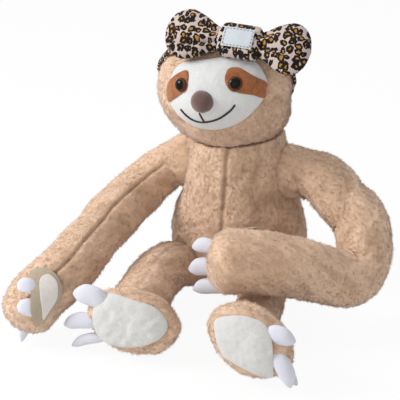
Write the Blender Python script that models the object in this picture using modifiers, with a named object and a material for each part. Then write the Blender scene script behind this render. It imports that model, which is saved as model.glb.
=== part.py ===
"""Plush sloth with a bow, sitting with one arm across its belly.

Metres, +Z up. The toy faces -Y and its left side is at +X. The origin is the middle of the flat
seat under the torso. Every stuffed form is a sewn skin, open where it is sewn on, round a filling.
"""

import math

import bmesh
import bpy
import numpy as np
from mathutils import Matrix, Vector

# Cloth, seams and mesh fineness
PLUSH_WALL = 0.0018
FILLING_CLEARANCE = 0.0004
SEAM_GAP = 0.0004
LAID_GAP = 0.0005
PANEL_GAP = 0.0009
SHEET_WALL = 0.0013
CUT_OVERRUN = 0.02
BODY_SEGMENTS = 16
LIMB_SEGMENTS = 10
FOOT_SEGMENTS = 14
SOCKET_SEGMENTS = 14
FINE_STEPS = 8

# Torso: an egg that sits on a flat
TORSO_HEIGHT = 0.167
TORSO_HALF_WIDTH = 0.073
TORSO_HALF_DEPTH = 0.066
TORSO_BELLY = 0.006
TORSO_LEAN = 0.004
# shares of the height, half width, half depth and belly at each ring, from the neck down
TORSO_RING_SHARES = (
    (1.00, 0.66, 0.70, 0.60),
    (0.88, 0.73, 0.78, 0.70),
    (0.76, 0.76, 0.84, 0.80),
    (0.63, 0.81, 0.90, 0.90),
    (0.50, 0.94, 0.97, 1.00),
    (0.34, 1.00, 1.00, 1.00),
    (0.17, 0.97, 0.95, 0.90),
    (0.06, 0.86, 0.84, 0.80),
    (0.00, 0.66, 0.64, 0.60),
)

# Head, measured from the neck seam along its own tilted axis
HEAD_TILT = math.radians(6)
HEAD_HEIGHT = 0.110
HEAD_HALF_WIDTH = 0.0715
HEAD_HALF_DEPTH = 0.062
HEAD_FORWARD = 0.019
HEAD_RING_SHARES = (
    (0.00, 0.66, 0.74, 0.00),
    (0.09, 0.80, 0.84, 0.22),
    (0.22, 0.92, 0.92, 0.50),
    (0.40, 1.00, 0.99, 0.86),
    (0.58, 0.98, 0.99, 1.00),
    (0.74, 0.89, 0.91, 1.00),
    (0.87, 0.71, 0.72, 0.95),
    (0.96, 0.42, 0.43, 0.90),
)

# Face, in the head's own frame
FACE_HEIGHT = 0.063
FACE_SIDE = 0.005
FACE_HALF_WIDTH = 0.049
FACE_WALL = 0.0014
# x and z as shares of the half width, round the panel from its right side up and over
FACE_SHARES = (
    (-0.96, 0.18),
    (-0.88, 0.39),
    (-0.76, 0.54),
    (-0.54, 0.62),
    (0.02, 0.68),
    (0.40, 0.68),
    (0.76, 0.55),
    (0.94, 0.31),
    (1.00, 0.10),
    (0.94, -0.10),
    (0.81, -0.28),
    (0.52, -0.54),
    (0.17, -0.69),
    (-0.15, -0.74),
    (-0.49, -0.69),
    (-0.73, -0.51),
    (-0.88, -0.34),
    (-0.99, -0.13),
)
EYE_SPACING = 0.053
EYE_SIDE = 0.0022
EYE_HEIGHT = 0.0741
EYE_RADIUS = 0.007
EYE_BULGE = 0.0052
SHANK_RADIUS = 0.0021
SHANK_LENGTH = 0.015
SHANK_CLEARANCE = 0.0004
WASHER_RADIUS = 0.0065
WASHER_WALL = 0.0014
WASHER_DEPTH = 0.0102
WASHER_POCKET = 0.0009
PATCH_OUTWARD = 0.0055
PATCH_DROP = 0.0011
PATCH_LENGTH = 0.032
# outwards and up as shares of the patch's length, from its inner end up and over
PATCH_SHARES = (
    (-0.50, 0.12),
    (-0.46, 0.29),
    (-0.36, 0.41),
    (-0.16, 0.43),
    (0.02, 0.34),
    (0.25, 0.14),
    (0.44, -0.10),
    (0.50, -0.30),
    (0.46, -0.52),
    (0.17, -0.36),
    (-0.08, -0.24),
    (-0.31, -0.14),
    (-0.44, -0.02),
)
NOSE_HEIGHT = 0.0597
NOSE_SIDE = -0.0024
NOSE_HALF_WIDTH = 0.0112
NOSE_HALF_DEPTH = 0.0105
NOSE_SINK = 0.0010
MOUTH_HALF_WIDTH = 0.028
MOUTH_HEIGHT = 0.0375
# x and the rise above the lowest stitch as shares of the mouth's half width
MOUTH_SHARES = (
    (-1.00, 0.45),
    (-0.82, 0.24),
    (-0.62, 0.08),
    (-0.39, 0.01),
    (-0.17, 0.00),
    (0.13, 0.04),
    (0.46, 0.16),
    (0.79, 0.37),
    (1.00, 0.58),
)
LIP_TICK_SHARES = ((-0.17, 0.10), (-0.20, 0.20), (-0.24, 0.36))
THREAD_RADIUS = 0.0009

# Arms
SHOULDER_OUT = 0.056
SHOULDER_BACK = -0.004
SHOULDER_HEIGHT = 0.131
SHOULDER_BALL = 0.0285
ARMHOLE_FLARE = 0.018
ARM_RADIUS = 0.0275
ELBOW_BALL = 0.0262
ARM_LENGTH = 0.120
FOREARM_LENGTH = 0.150
SLEEVE_SETBACK = 0.010
HAND_TIP = 0.022
# x, y and z as shares of the arm's length from the shoulder, and the radius as a share of the arm's
RIGHT_ARM_SHARES = (
    (-0.17, -0.04, -0.08, 0.90),
    (-0.29, -0.13, -0.17, 0.94),
    (-0.37, -0.30, -0.25, 0.97),
    (-0.42, -0.52, -0.30, 0.99),
    (-0.455, -0.73, -0.345, 1.00),
)
LEFT_ARM_SHARES = (
    (0.17, -0.03, 0.02, 0.92),
    (0.31, -0.07, -0.01, 0.97),
    (0.48, -0.14, -0.14, 1.00),
    (0.60, -0.205, -0.235, 1.01),
    (0.675, -0.33, -0.385, 1.02),
)
# x, y and z as shares of the forearm's length from the elbow, then two radii as shares of the arm's
RIGHT_FOREARM_SHARES = (
    (-0.016, -0.136, -0.034, 0.92, 0.92),
    (-0.043, -0.296, -0.080, 0.99, 0.99),
    (-0.083, -0.456, -0.145, 1.04, 1.03),
    (-0.156, -0.596, -0.224, 1.05, 1.05),
    (-0.229, -0.683, -0.304, 1.05, 1.07),
    (-0.269, -0.723, -0.371, 0.98, 1.02),
)
LEFT_FOREARM_SHARES = (
    (0.020, -0.10, -0.125, 0.95, 0.95),
    (-0.040, -0.22, -0.182, 1.00, 1.03),
    (-0.185, -0.35, -0.101, 1.04, 1.06),
    (-0.355, -0.48, -0.008, 1.06, 1.07),
    (-0.535, -0.585, 0.036, 1.06, 1.12),
    (-0.680, -0.655, 0.038, 1.06, 1.16),
)
# where each claw leaves the hand and where it ends, as shares of the forearm's length from the elbow
RIGHT_HAND_CLAW_SHARES = (
    ((-0.166, -0.835, -0.138), (-0.300, -0.800, -0.170)),
    ((-0.145, -0.885, -0.268), (-0.283, -0.855, -0.305)),
    ((-0.172, -0.830, -0.445), (-0.290, -0.800, -0.520)),
)
LEFT_HAND_CLAW_SHARES = (
    ((-0.807, -0.607, 0.100), (-0.945, -0.607, 0.078)),
    ((-0.813, -0.607, -0.060), (-0.973, -0.607, -0.087)),
    ((-0.760, -0.607, -0.193), (-0.945, -0.607, -0.225)),
)
RIGHT_PALM = (7.7, math.radians(172), math.radians(38))
LEFT_PALM = (8.4, math.radians(0), math.radians(-38))

# Legs and feet
HIP_OUT = 0.038
HIP_FORWARD = 0.036
HIP_HEIGHT = 0.029
HIP_BALL = 0.0285
HIP_SPREAD_SHARE = 0.18
HIP_RISE_SHARE = 0.10
LEG_HOLE_FLARE = 0.004
LEG_RADIUS = 0.0265
LEG_LENGTH = 0.125
RIGHT_LEG_SHARES = (
    (-0.055, -0.22, 0.060, 0.92),
    (-0.095, -0.42, 0.110, 0.98),
    (-0.115, -0.66, 0.115, 1.03),
    (-0.115, -0.90, 0.075, 1.05),
    (-0.110, -1.08, 0.040, 1.05),
)
LEFT_LEG_SHARES = (
    (0.060, -0.22, -0.014, 0.91),
    (0.110, -0.44, -0.027, 0.90),
    (0.150, -0.68, -0.033, 0.89),
    (0.175, -0.92, -0.027, 0.94),
    (0.190, -1.10, -0.010, 1.00),
)
FOOT_HALF_LENGTH = 0.0425
FOOT_HALF_HEIGHT = 0.0325
FOOT_HALF_DEPTH = 0.023
FOOT_FLATNESS = 3.4
FOOT_FULLNESS = 2.4
FOOT_EGG_SHARE = 0.10
SOLE_SHARE = 0.87
SOLE_ROOM_SHARE = 0.03
RIGHT_FOOT = (-0.047, -0.189, 0.0365)
LEFT_FOOT = (0.070, -0.190, 0.0430)
RIGHT_FOOT_ROLL = math.radians(5)
LEFT_FOOT_ROLL = math.radians(-15)
RIGHT_FOOT_TURN = math.radians(2)
LEFT_FOOT_TURN = math.radians(-13)

# Claws and palms
CLAW_HALF_WIDTH = 0.0098
CLAW_HALF_WALL = 0.0065
CLAW_ROOT_SHARE = 0.30
CLAW_BLUNTNESS = 2.8
CLAW_TAPER_SHARE = 0.20
# where each claw leaves the foot and where it ends, as shares of the foot's half length from its middle
RIGHT_FOOT_CLAW_SHARES = (
    ((-0.60, -0.33, 0.52), (-1.26, -0.33, 0.66)),
    ((-0.84, -0.33, -0.06), (-1.55, -0.33, -0.22)),
    ((-0.72, -0.33, -0.48), (-1.38, -0.33, -0.74)),
)
LEFT_FOOT_CLAW_SHARES = (
    ((0.62, -0.40, 0.34), (1.17, -0.40, 0.34)),
    ((0.78, -0.53, -0.12), (1.18, -0.53, -0.74)),
    ((0.74, -0.17, -0.58), (1.20, -0.17, -0.88)),
)
PALM_HALF_ALONG = 0.013
PALM_HALF_ROUND = 0.0285
PALM_PAD_SHARE = 0.68
PALM_ROOM_SHARE = 0.04

# Headband and bow
BAND_HALF_WIDTH = 0.0065
BAND_HALF_WALL = 0.0014
BAND_CENTRE_BACK = 0.0005
BAND_CENTRE_HEIGHT = 0.076
BAND_SLOPE = math.radians(44)
BAND_SEGMENTS = 28
BOW_OUT = 0.0318
BOW_FORWARD = 0.0560
BOW_RISE = 0.1108
BOW_ROLL = math.radians(8.7)
BOW_LEANING = math.radians(-36)
KNOT_HALF_WIDTH = 0.0215
KNOT_HALF_HEIGHT = 0.0165
KNOT_HALF_WALL = 0.0105
RIGHT_LOOP_LENGTH = 0.0585
LEFT_LOOP_LENGTH = 0.0520
LOOP_HALF_HEIGHT = 0.0254
LOOP_HALF_WALL = 0.0105
# shares of the loop's length, half height and half wall, from the knot outwards
LOOP_RING_SHARES = (
    (0.00, 0.56, 0.62),
    (0.16, 0.66, 0.78),
    (0.40, 0.90, 1.00),
    (0.66, 1.00, 0.98),
    (0.86, 0.88, 0.78),
    (0.97, 0.55, 0.42),
)
LABEL_HALF_WIDTH = 0.0150
LABEL_HALF_HEIGHT = 0.0105
LABEL_WALL = 0.0008

# colour, roughness
PLUSH_LOOK = ((0.60, 0.39, 0.23), 0.95)
WHITE_PLUSH_LOOK = ((0.84, 0.82, 0.79), 0.95)
PATCH_LOOK = ((0.39, 0.13, 0.04), 0.95)
SOLE_LOOK = ((0.73, 0.72, 0.66), 0.95)
CLAW_LOOK = ((0.80, 0.80, 0.88), 0.85)
EYE_LOOK = ((0.006, 0.005, 0.005), 0.08)
NOSE_LOOK = ((0.13, 0.07, 0.06), 0.80)
THREAD_LOOK = ((0.01, 0.01, 0.01), 0.60)
KHAKI_LOOK = ((0.40, 0.32, 0.21), 0.90)
BOW_LOOK = ((0.62, 0.48, 0.36), 0.90)
LABEL_LOOK = ((0.75, 0.80, 0.85), 0.70)
FILLING_LOOK = ((0.90, 0.90, 0.90), 1.00)
WASHER_LOOK = ((0.80, 0.80, 0.80), 0.40)

NECK = np.array((-TORSO_LEAN, -TORSO_BELLY * TORSO_RING_SHARES[0][3], TORSO_HEIGHT))
UP = np.array((0.0, 0.0, 1.0))


def unit(vector):
    return np.asarray(vector, float) / np.linalg.norm(vector)


def smooth(keys, steps=FINE_STEPS):
    """A Catmull-Rom curve through the key rows, with its end slopes from the end rows."""
    keys = np.asarray(keys, float)
    padded = np.vstack((2 * keys[0] - keys[1], keys, 2 * keys[-1] - keys[-2]))
    rows = []
    for i in range(len(keys) - 1):
        a, b, c, d = padded[i : i + 4]
        for t in np.arange(steps) / steps:
            bend = (2 * a - 5 * b + 4 * c - d) * t**2 + (3 * b - a - 3 * c + d) * t**3
            rows.append((2 * b + (c - a) * t + bend) / 2)
    return np.array(rows + [keys[-1]])


class Form:
    """A row of elliptical rings: centre, two axes and two radii each, and an optional tip."""

    def __init__(self, centres, sides, ups, wides, highs, tip=None, egg=0.0):
        self.centres = np.asarray(centres, float)
        self.sides = np.asarray(sides, float)
        self.ups = np.asarray(ups, float)
        self.wides = np.asarray(wides, float)
        self.highs = np.asarray(highs, float)
        self.tip = tip
        self.egg = egg

    def at(self, row, angle, offset=0.0):
        """The point on the surface at a fractional ring number and an angle round the ring."""
        number = np.arange(len(self.centres))

        def between(values):
            values = np.asarray(values)
            if values.ndim == 1:
                return np.interp(row, number, values)[..., None]
            return np.stack([np.interp(row, number, column) for column in values.T], axis=-1)

        angle = np.asarray(angle)[..., None]
        across = between(self.sides) * (between(self.wides) + offset) * np.cos(angle)
        high = (between(self.highs) + offset) * (1 + self.egg * np.cos(angle))
        above = between(self.ups) * high * np.sin(angle)
        return between(self.centres) + across + above

    def grid(self, segments, offset=0.0):
        angles = np.arange(segments) * math.tau / segments
        rows = np.arange(len(self.centres))
        return self.at(*np.meshgrid(rows, angles, indexing="ij"), offset)


def limb(pivot, ball, keys, tip_length, ball_open=math.radians(26), ball_end=math.radians(118)):
    """A ball at the root, a shaft through the keys (x, y, z and two radii) and a rounded tip."""
    pivot = np.asarray(pivot)
    path = np.asarray(keys, float)
    start = unit(path[0, :3] - pivot)
    rows = []
    for angle in np.linspace(ball_open, ball_end, 4):
        radius = ball * math.sin(angle)
        rows.append((*(pivot - start * ball * math.cos(angle)), radius, radius))
    rows = np.vstack((rows, path))
    tip = None
    if tip_length:
        end, direction = path[-1], unit(path[-1, :3] - path[-2, :3])
        for angle in np.radians((38, 68)):
            centre = end[:3] + direction * tip_length * math.sin(angle)
            rows = np.vstack((rows, (*centre, *(end[3:] * math.cos(angle)))))
        tip = end[:3] + direction * tip_length
    return swept(rows, tip)


def swept(rows, tip=None):
    """A form whose rings stand square to the path, without twist back from its level last ring."""
    centres = rows[:, :3]
    tangents = np.gradient(centres, axis=0)
    tangents /= np.linalg.norm(tangents, axis=1, keepdims=True)
    sides = [unit(np.cross(tangents[-1], UP))]
    for tangent in tangents[-2::-1]:
        sides.insert(0, unit(sides[0] - tangent * (sides[0] @ tangent)))
    return Form(centres, sides, np.cross(sides, tangents), rows[:, 3], rows[:, 4], tip)


def arm_keys(pivot, shares, length):
    """Places and the two radii along an arm, from shares of its length and of its radius."""
    return [(*(pivot + np.array(row[:3]) * length), row[3] * ARM_RADIUS, row[-1] * ARM_RADIUS)
            for row in shares]


def stacked(shares, height, half_width, half_depth, forward, lean=0.0, tilt=0.0):
    """Level rings above one another, which tilt and lean towards the last one at the neck."""
    rows = np.array(shares)
    bend = np.clip(rows[:, 0], 0, 1) ** 3
    centres = np.stack((-lean * bend, -forward * rows[:, 3], height * rows[:, 0]), axis=1)
    centres[:, 2] = np.maximum(centres[:, 2], 0)
    sides = np.stack((np.cos(tilt * bend), 0 * bend, np.sin(tilt * bend)), axis=1)
    ups = np.tile((0.0, 1.0, 0.0), (len(rows), 1))
    return Form(centres, sides, ups, half_width * rows[:, 1], half_depth * rows[:, 2])


def clear_scene():
    for obj in list(bpy.data.objects):
        bpy.data.objects.remove(obj, do_unlink=True)
    for name in ("plush_sloth", "cutters"):
        collection = bpy.data.collections.new(name)
        bpy.context.scene.collection.children.link(collection)
    bpy.data.collections["cutters"].hide_render = True


def material(name, look):
    found = bpy.data.materials.get(name)
    if found:
        return found
    made = bpy.data.materials.new(name)
    made.use_nodes = True
    shader = made.node_tree.nodes["Principled BSDF"]
    shader.inputs["Base Color"].default_value = (*look[0], 1)
    shader.inputs["Roughness"].default_value = look[1]
    shader.inputs["Metallic"].default_value = 0
    return made


def add(name, bm, look=None, slot=None, place=Matrix.Identity(4)):
    """A new object from a bmesh. Without a look it is a cutter."""
    bmesh.ops.recalc_face_normals(bm, faces=bm.faces)
    mesh = bpy.data.meshes.new(name)
    bm.to_mesh(mesh)
    bm.free()
    obj = bpy.data.objects.new(name, mesh)
    obj.matrix_world = place
    if look is None:
        bpy.data.collections["cutters"].objects.link(obj)
        obj.hide_render = True
        obj.display_type = "WIRE"
    else:
        bpy.data.collections["plush_sloth"].objects.link(obj)
        mesh.materials.append(material(slot or name, look))
        mesh.shade_smooth()
    return obj


def grid_mesh(grid, start=None, tip=None, loop=True):
    """Rings of points joined into faces, closed by a fan at the start and at the tip if given."""
    bm = bmesh.new()
    rings = [[bm.verts.new(point) for point in ring] for ring in grid]
    count = len(rings[0])
    for first, second in zip(rings, rings[1:]):
        for j in range(count if loop else count - 1):
            k = (j + 1) % count
            bm.faces.new((first[j], second[j], second[k], first[k]))
    for ring, point in ((rings[0], start), (rings[-1], tip)):
        if point is not None:
            pole = bm.verts.new(point)
            for j in range(count):
                bm.faces.new((ring[j], ring[(j + 1) % count], pole))
    bmesh.ops.recalc_face_normals(bm, faces=bm.faces)
    return bm


def solidify(obj, wall, outwards=False):
    modifier = obj.modifiers.new("wall", "SOLIDIFY")
    modifier.thickness = wall
    modifier.offset = 1 if outwards else -1


def cut(obj, cutter, operation="DIFFERENCE"):
    modifier = obj.modifiers.new(cutter.name, "BOOLEAN")
    modifier.operation = operation
    modifier.object = cutter


def close_openings(bm):
    edges = [edge for edge in bm.edges if edge.is_boundary]
    bmesh.ops.holes_fill(bm, edges=edges, sides=0)


def stuffed(name, form, segments, look, slot, place=Matrix.Identity(4)):
    """The skin and the filling of one form. Returns both."""
    bm = grid_mesh(form.grid(segments), tip=form.tip)
    bmesh.ops.triangulate(bm, faces=bm.faces)
    skin = add(name + "_skin", bm.copy(), look, slot, place)
    solidify(skin, PLUSH_WALL)
    moved_along_normals(bm, -PLUSH_WALL - FILLING_CLEARANCE)
    close_openings(bm)
    filling = add(name + "_filling", bm, FILLING_LOOK, "filling", place)
    return skin, filling


def moved_along_normals(bm, distance):
    bm.normal_update()
    moved = [vertex.co + vertex.normal * distance for vertex in bm.verts]
    for vertex, point in zip(bm.verts, moved):
        vertex.co = point


def closed_cutter(name, form, segments, offset, place=Matrix.Identity(4)):
    """The whole form as one closed solid, grown by offset."""
    bm = grid_mesh(form.grid(segments), tip=form.tip)
    moved_along_normals(bm, offset)
    close_openings(bm)
    return add(name, bm, place=place)


def socket_cutter(name, pivot, direction, ball, flare=0.0):
    """The room for a ball root that turns: a ball that opens into a flared tube."""
    turns = np.linspace(math.radians(15), math.pi / 2, 5)
    facet = math.cos(math.pi / SOCKET_SEGMENTS) * math.cos((turns[1] - turns[0]) / 2)
    radius = (ball + SEAM_GAP) / facet
    along = np.append(-np.cos(turns) * radius, CUT_OVERRUN * 2)
    around = np.append(np.sin(turns) * radius, radius + flare)
    direction = unit(direction)
    side = unit(np.cross(direction, UP))
    form = Form(
        pivot + np.outer(along, direction),
        np.tile(side, (len(along), 1)),
        np.tile(np.cross(side, direction), (len(along), 1)),
        around,
        around,
    )
    bm = grid_mesh(form.grid(SOCKET_SEGMENTS))
    close_openings(bm)
    return add(name, bm)


def rod_cutter(name, radius, place, length=CUT_OVERRUN):
    bm = bmesh.new()
    bmesh.ops.create_cone(bm, cap_ends=True, segments=16, radius1=radius, radius2=radius, depth=2 * length)
    return add(name, bm, place=place)


def placed(origin, x_axis, z_axis):
    """The matrix of a frame whose Z is z_axis and whose X is as near x_axis as that allows."""
    z = unit(z_axis)
    y = unit(np.cross(z, x_axis))
    x = np.cross(y, z)
    matrix = Matrix.Identity(4)
    for column, axis in enumerate((x, y, z, origin)):
        for row in range(3):
            matrix[row][column] = axis[row]
    return matrix


torso_form = stacked(
    TORSO_RING_SHARES, TORSO_HEIGHT - SEAM_GAP / 2, TORSO_HALF_WIDTH, TORSO_HALF_DEPTH, TORSO_BELLY,
    TORSO_LEAN, HEAD_TILT,
)
torso_form.tip = torso_form.centres[-1]

head_place = Matrix.Translation(NECK) @ Matrix.Rotation(-HEAD_TILT, 4, "Y")


def head_rings(steps=FINE_STEPS):
    rows = smooth(HEAD_RING_SHARES, steps)
    rows[:, 0] = rows[:, 0] * HEAD_HEIGHT + SEAM_GAP / 2
    rows[:, 1] *= HEAD_HALF_WIDTH
    rows[:, 2] *= HEAD_HALF_DEPTH
    rows[:, 3] *= -HEAD_FORWARD
    return rows


def head_form(steps=1):
    rows = head_rings(steps)
    zero = 0 * rows[:, 0]
    centres = np.stack((zero, rows[:, 3], rows[:, 0]), axis=1)
    sides = np.tile((1.0, 0.0, 0.0), (len(rows), 1))
    ups = np.tile((0.0, 1.0, 0.0), (len(rows), 1))
    tip = np.array((0.0, rows[-1, 3], HEAD_HEIGHT))
    return Form(centres, sides, ups, rows[:, 1], rows[:, 2], tip)


def face_front(x, z):
    """The y of the head's front above the point (x, z) of its own frame."""
    rows = head_rings()
    wide, deep, middle = (np.interp(z, rows[:, 0], rows[:, column]) for column in (1, 2, 3))
    return middle - deep * np.sqrt(np.clip(1 - (x / wide) ** 2, 0, 1))


def on_face(x, z, offset):
    """A point offset outwards from the head's front, and the outward normal there."""
    step = THREAD_RADIUS
    slope_x = (face_front(x + step, z) - face_front(x - step, z)) / (2 * step)
    slope_z = (face_front(x, z + step) - face_front(x, z - step)) / (2 * step)
    normal = np.stack((slope_x, -np.ones_like(slope_x), slope_z), axis=-1)
    normal /= np.linalg.norm(normal, axis=-1, keepdims=True)
    return np.stack((x, face_front(x, z), z), axis=-1) + normal * offset, normal


def face_sheet(name, outline, offset, wall, look, slot, rings=5, segments=24):
    """A sheet laid on the face: outline gives x and z for an angle and a share of the way out."""
    shares = np.linspace(1, 0, rings, endpoint=False)
    angles = np.arange(segments) * math.tau / segments
    share, angle = np.meshgrid(shares, angles, indexing="ij")
    points, _ = on_face(*outline(angle, share), offset)
    middle, _ = on_face(*outline(np.array(0.0), np.array(0.0)), offset)
    sheet = add(name, grid_mesh(points, tip=middle), look, slot, head_place)
    if sheet.data.polygons[0].normal.y > 0:
        sheet.data.flip_normals()
    solidify(sheet, wall, outwards=True)
    return sheet


def traced(shares, size, middle, side=1):
    """The outline through a table of points, by the angle round its middle and a share of the way."""
    table = np.array(shares) * size
    bearing = np.arctan2(table[:, 1], table[:, 0])
    order = np.argsort(bearing)
    reach = np.linalg.norm(table, axis=1)

    def outline(angle, share):
        turned = (angle + math.pi) % math.tau - math.pi
        far = np.interp(turned, bearing[order], reach[order], period=math.tau)
        x = middle[0] + side * share * far * np.cos(angle)
        return x, middle[1] + share * far * np.sin(angle)

    return outline


def make_head():
    form = head_form()
    skin, filling = stuffed("head", form, BODY_SEGMENTS, PLUSH_LOOK, "tan_plush", head_place)
    outline = traced(FACE_SHARES, FACE_HALF_WIDTH, (FACE_SIDE, FACE_HEIGHT))
    panel = face_sheet("face_panel", outline, PANEL_GAP, FACE_WALL, WHITE_PLUSH_LOOK, "white_plush")
    above_panel = PANEL_GAP + FACE_WALL + SEAM_GAP
    for side, name in ((-1, "right"), (1, "left")):
        eye = np.array(EYE_SIDE + side * EYE_SPACING / 2), np.array(EYE_HEIGHT)
        middle = (eye[0] + side * PATCH_OUTWARD, EYE_HEIGHT - PATCH_DROP)
        outline = traced(PATCH_SHARES, PATCH_LENGTH, middle, side)
        patch = face_sheet(
            name + "_eye_patch", outline, above_panel, SHEET_WALL, PATCH_LOOK, "rust_plush", 4, 20
        )
        point, normal = on_face(*eye, above_panel + SHEET_WALL + SEAM_GAP)
        place = head_place @ placed(point, (1, 0, 0), normal)
        make_eye(name, place)
        hole = rod_cutter(name + "_shank_hole", SHANK_RADIUS + SHANK_CLEARANCE, place)
        for sheet in (patch, panel, skin):
            cut(sheet, hole)
        pocket_depth = EYE_BULGE + SHANK_LENGTH + WASHER_POCKET
        pocket_place = place @ Matrix.Translation((0, 0, -pocket_depth / 2))
        pocket = rod_cutter(
            name + "_washer_pocket", WASHER_RADIUS + WASHER_POCKET, pocket_place, pocket_depth / 2
        )
        cut(filling, pocket)
    make_nose(above_panel)
    make_mouth(above_panel)
    return form


def make_eye(name, place):
    """A domed plastic eye on its shank, and the lock washer pressed on from inside."""
    bm = bmesh.new()
    bmesh.ops.create_uvsphere(bm, u_segments=20, v_segments=12, radius=1)
    below = [vertex for vertex in bm.verts if vertex.co.z < -SHANK_CLEARANCE]
    bmesh.ops.delete(bm, geom=below, context="VERTS")
    close_openings(bm)
    bmesh.ops.scale(bm, vec=(EYE_RADIUS, EYE_RADIUS, EYE_BULGE), verts=bm.verts)
    eye = add(name + "_eye", bm, EYE_LOOK, "eye_plastic", place)
    bm = bmesh.new()
    bmesh.ops.create_cone(
        bm, cap_ends=True, segments=12, radius1=SHANK_RADIUS, radius2=SHANK_RADIUS, depth=SHANK_LENGTH
    )
    shift = Matrix.Translation((0, 0, EYE_BULGE / 2 - SHANK_LENGTH / 2))
    cut(eye, add(name + "_shank", bm, place=place @ shift), "UNION")
    bm = bmesh.new()
    bmesh.ops.create_cone(
        bm, cap_ends=True, segments=20, radius1=WASHER_RADIUS, radius2=WASHER_RADIUS, depth=WASHER_WALL
    )
    shift = Matrix.Translation((0, 0, -WASHER_DEPTH))
    washer = add(name + "_eye_washer", bm, WASHER_LOOK, "washer_plastic", place @ shift)
    cut(washer, rod_cutter(name + "_washer_bore", SHANK_RADIUS + SEAM_GAP, place @ shift))


def make_nose(offset):
    point, normal = on_face(np.array(NOSE_SIDE), np.array(NOSE_HEIGHT), offset - NOSE_SINK)
    bm = bmesh.new()
    bmesh.ops.create_uvsphere(bm, u_segments=20, v_segments=12, radius=1)
    bmesh.ops.scale(bm, vec=(NOSE_HALF_WIDTH, NOSE_HALF_WIDTH, NOSE_HALF_DEPTH), verts=bm.verts)
    nose = add("nose", bm, NOSE_LOOK, "nose_velour", head_place @ placed(point, (1, 0, 0), normal))
    cut(nose, closed_cutter("face_surface", head_form(FINE_STEPS), BODY_SEGMENTS * 4, offset, head_place))


def thread(name, points):
    """A line of black embroidery, as a round tube."""
    curve = bpy.data.curves.new(name, "CURVE")
    curve.dimensions = "3D"
    curve.bevel_depth = THREAD_RADIUS
    curve.bevel_resolution = 1
    curve.use_fill_caps = True
    spline = curve.splines.new("POLY")
    spline.points.add(len(points) - 1)
    for target, point in zip(spline.points, points):
        target.co = (*point, 1)
    curve.materials.append(material("black_thread", THREAD_LOOK))
    obj = bpy.data.objects.new(name, curve)
    obj.matrix_world = head_place
    bpy.data.collections["plush_sloth"].objects.link(obj)


def make_mouth(offset):
    """A wide smile, and a short tick from it up towards the nose."""
    for name, shares in (("smile_stitching", MOUTH_SHARES), ("lip_tick_stitching", LIP_TICK_SHARES)):
        x, rise = (smooth(shares, 2) * MOUTH_HALF_WIDTH).T
        thread(name, on_face(x, MOUTH_HEIGHT + rise, offset + THREAD_RADIUS)[0])


def make_torso():
    skin, filling = stuffed("torso", torso_form, BODY_SEGMENTS, PLUSH_LOOK, "tan_plush")
    sockets = []
    for side, name in ((-1, "right"), (1, "left")):
        outwards, forwards = (side, 0, 0), (side * HIP_SPREAD_SHARE, -1, HIP_RISE_SHARE)
        sockets.append(
            socket_cutter(name + "_armhole", shoulder(side), outwards, SHOULDER_BALL, ARMHOLE_FLARE)
        )
        sockets.append(socket_cutter(name + "_leg_hole", hip(side), forwards, HIP_BALL, LEG_HOLE_FLARE))
    for piece in (skin, filling):
        for socket in sockets:
            cut(piece, socket)


def shoulder(side):
    return np.array((side * SHOULDER_OUT, SHOULDER_BACK, SHOULDER_HEIGHT))


def hip(side):
    return np.array((side * HIP_OUT, -HIP_FORWARD, HIP_HEIGHT))


def elbow(side):
    shares = RIGHT_ARM_SHARES if side < 0 else LEFT_ARM_SHARES
    return shoulder(side) + np.array(shares[-1][:3]) * ARM_LENGTH


def make_upper_arm(side, name):
    """The upper arm ends in an open sleeve round the ball at the root of the forearm."""
    shares = RIGHT_ARM_SHARES if side < 0 else LEFT_ARM_SHARES
    keys = arm_keys(shoulder(side), shares, ARM_LENGTH)
    end = np.array(keys[-1])
    back = unit(np.array(keys[-2])[:3] - end[:3])
    end[:3] += back * SLEEVE_SETBACK
    form = limb(shoulder(side), SHOULDER_BALL, keys[:-1] + [tuple(end)], 0)
    skin, filling = stuffed(name + "_upper_arm", form, LIMB_SEGMENTS, PLUSH_LOOK, "tan_plush")
    socket = socket_cutter(name + "_elbow_socket", elbow(side), -back, ELBOW_BALL)
    cut(skin, socket)
    cut(filling, socket)


def make_forearm(side, name):
    shares = RIGHT_FOREARM_SHARES if side < 0 else LEFT_FOREARM_SHARES
    form = limb(elbow(side), ELBOW_BALL, arm_keys(elbow(side), shares, FOREARM_LENGTH), HAND_TIP)
    stuffed(name + "_forearm", form, LIMB_SEGMENTS, PLUSH_LOOK, "tan_plush")
    palm_room = make_palm(side, name, form)
    surface = closed_cutter(name + "_hand_surface", form, LIMB_SEGMENTS, SEAM_GAP)
    shares = RIGHT_HAND_CLAW_SHARES if side < 0 else LEFT_HAND_CLAW_SHARES
    cutters = [surface, palm_room] if side < 0 else [surface]
    make_claws(name + "_hand", elbow(side), FOREARM_LENGTH, shares, UP, cutters)


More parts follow.
